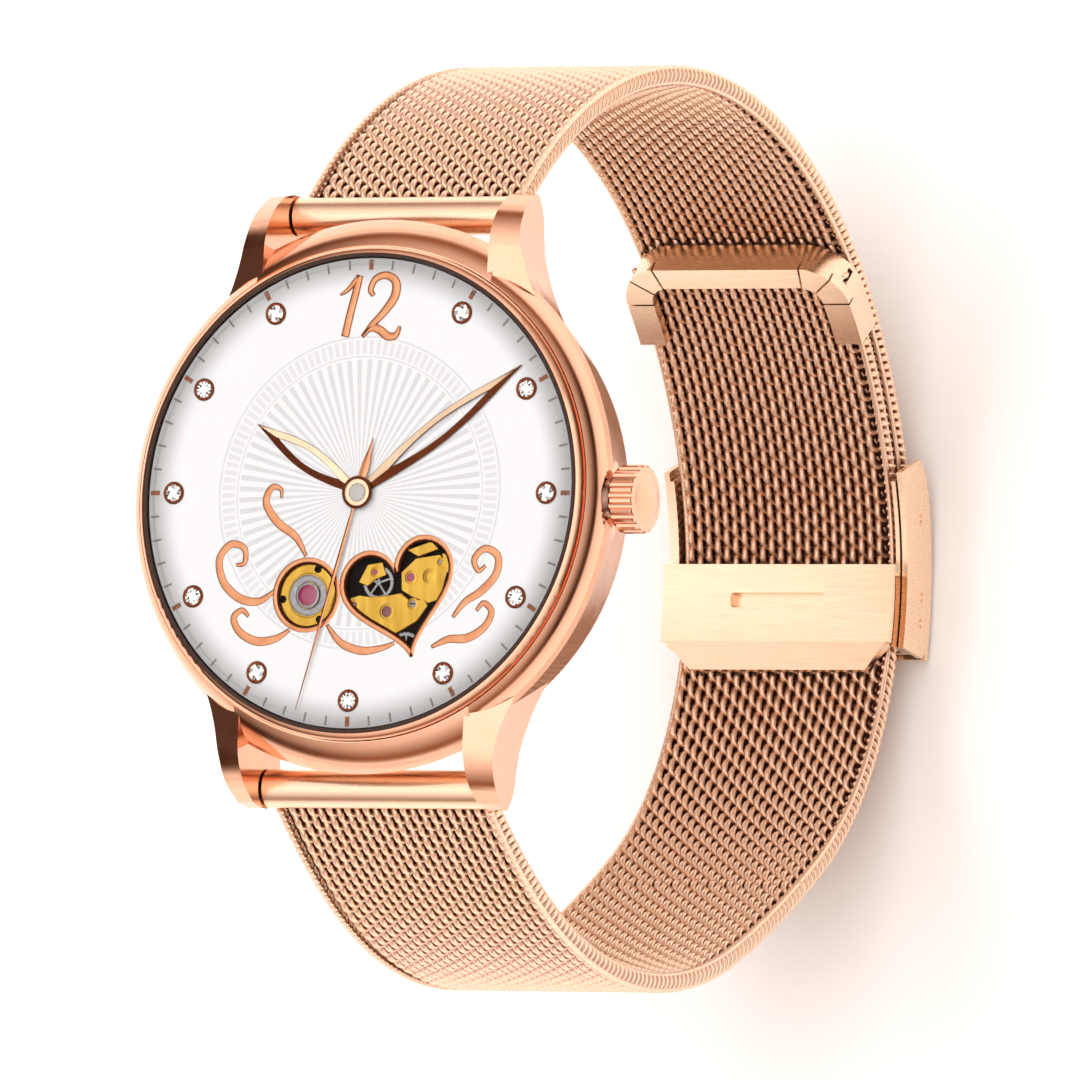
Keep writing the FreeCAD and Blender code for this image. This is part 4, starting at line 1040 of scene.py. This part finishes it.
hands = {
    # each rides on the body, and takes the place of the node, that "node" names
    "hour": {"length": 10.5, "clockwise": 300.4, "low": 10.24, "high": 10.32, "node": "hour_hand"},
    "minute": {"length": 16.7, "clockwise": 53.8, "low": 10.36, "high": 10.44, "node": "minute_hand"},
    "second": {"length": 17.4, "tail": 4.4, "clockwise": 194.6, "low": 10.48, "high": 10.56,
               "node": "second_hand"},
    "half": 0.98,
    "hole": 0.56,
    "edge": 0.035,
    "boss": 1.03,
    "bore": 0.36,
}


def leafHalf(length, y, start=0.6, widest=0.46):
    share = max(0.0, min(1.0, (y - start) / (length - start)))
    if share < widest:
        return 0.3 + 0.7 * math.sin(math.pi / 2 * share / widest)
    return math.cos(math.pi / 2 * (share - widest) / (1 - widest)) ** 1.2


def turnClockwise(shape, start, degrees):
    a = -math.radians(degrees)
    for k in range(start, len(shape.verts)):
        x, y, z = shape.verts[k]
        shape.verts[k] = (x * math.cos(a) - y * math.sin(a), x * math.sin(a) + y * math.cos(a), z)


def leafHand(name, spec, highlightSide):
    hand = Shape()
    low, high, length = spec["low"], spec["high"], spec["length"]
    first, last = length * 0.2, length * 0.8
    steps = 40
    for side in (-1, 1):
        line = []
        for k in range(steps + 1):
            y = 0.7 + (length - 0.72) * k / steps
            outer = hands["half"] * leafHalf(length, y) + 0.02
            reach = max(0.0, math.sin(math.pi * max(0.0, min(1.0, (y - first) / (last - first))))) ** 0.6
            inner = hands["hole"] * reach * outer / hands["half"]
            line.append((side * inner, side * outer, y))
        verts = []
        for inner, outer, y in line:
            verts += [(inner, y, low), (outer, y, low), (outer, y, low + 0.02), (inner, y, high)]
        faces = [(0, 1, 2, 3), tuple(len(verts) - 4 + k for k in (3, 2, 1, 0))]
        for k in range(0, 4 * steps, 4):
            faces += [(k + j, k + (j + 1) % 4, k + 4 + (j + 1) % 4, k + 4 + j) for j in range(4)]
        # the half on the chosen side takes the painted highlight, the other half the painted shade, like two
        # facets of a bevelled leaf
        hand.add(verts, faces, 0 if side == highlightSide else 1)
        # the thin dark edge of painted shade that the bright leaf stands on
        verts = []
        rim = low + 0.012
        for inner, outer, y in line:
            inside, outside = inner - side * hands["edge"], outer + side * hands["edge"]
            verts += [(inside, y, low), (outside, y, low), (outside, y, rim), (inside, y, rim)]
        hand.add(verts, faces, 1)
    # the boss round the bore is in painted shade
    bore, boss = hands["bore"], hands["boss"]
    profile = [(bore, low), (boss, low), (boss, high - 0.02), (boss - 0.05, high), (bore, high)]
    hand.turned((0, 0), profile, 40, 1)
    turnClockwise(hand, 0, spec["clockwise"])
    piece = hand.piece(name, [roseGoldPaintedHighlight, paintedShadeBevel], spec["node"], "gold_hands", False)
    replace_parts(piece, spec["node"])


def needle(hand, length, half, low, high, side):
    steps = 24
    verts = []
    for k in range(steps + 1):
        share = k / steps
        y = side * (0.5 + (length - 0.5) * share)
        wide = half * (0.55 + 0.45 * math.sin(math.pi * min(1.0, share * 1.35))) * (1 - share ** 3) + 0.02
        edge = low + 0.03
        verts += [(-wide, y, low), (wide, y, low), (wide, y, edge), (0, y, high), (-wide, y, edge)]
    faces = [(0, 1, 2, 3, 4), tuple(len(verts) - 5 + k for k in (4, 3, 2, 1, 0))]
    for k in range(0, 5 * steps, 5):
        faces += [(k + j, k + (j + 1) % 5, k + 5 + (j + 1) % 5, k + 5 + j) for j in range(5)]
    hand.add(verts, faces, 0)


def makeHands():
    # the last number says which half of each hand has the painted highlight
    leafHand("hourLeafHand", hands["hour"], 1)
    leafHand("minuteLeafHand", hands["minute"], -1)
    spec = hands["second"]
    low, high, bore = spec["low"], spec["high"], hands["bore"]
    second = Shape()
    needle(second, spec["length"], 0.13, low, high, 1)
    needle(second, spec["tail"], 0.34, low, high, -1)
    profile = [(bore, low), (1.0, low), (1.0, high - 0.01), (0.97, high), (bore, high)]
    second.turned((0, 0), profile, 36, 0)
    turnClockwise(second, 0, spec["clockwise"])
    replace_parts(second.piece("secondNeedleHand", [artGold], spec["node"], "gold_hands", False), spec["node"])

    # the post, its wide cap with a raised ring, and a cut stone of ten facets in the middle; the cap in
    # painted shade, the post and ring in painted highlight, the stone in a painted grey facet
    post = Shape()
    for profile, steps, mark in (
        ([(0, 10.2), (0.35, 10.2), (0.35, 10.585), (0, 10.585)], 24, 0),
        ([(0, 10.58), (1.27, 10.58), (1.27, 10.63), (1.2, 10.64), (1.05, 10.63), (0, 10.63)], 48, 1),
        ([(0.7, 10.6), (1.03, 10.6), (1.03, 10.64), (0.95, 10.655), (0.8, 10.655), (0.7, 10.64)], 40, 0),
        ([(0, 10.6), (0.68, 10.6), (0.68, 10.64), (0.35, 10.66), (0, 10.66)], 10, 2),
    ):
        post.turned((0, 0), profile, steps, mark)
    hub = post.piece("handHub", [roseGoldPaintedHighlight, paintedShadeBevel, stoneFacetGreyShade], "case", "gold_hands", False)
    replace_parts(hub, "hand_post")
    print("stage: hands")


makeHands()

for low, high in (cadBounds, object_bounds()):
    print([round(v / mm, 2) for v in low], [round(v / mm, 2) for v in high])
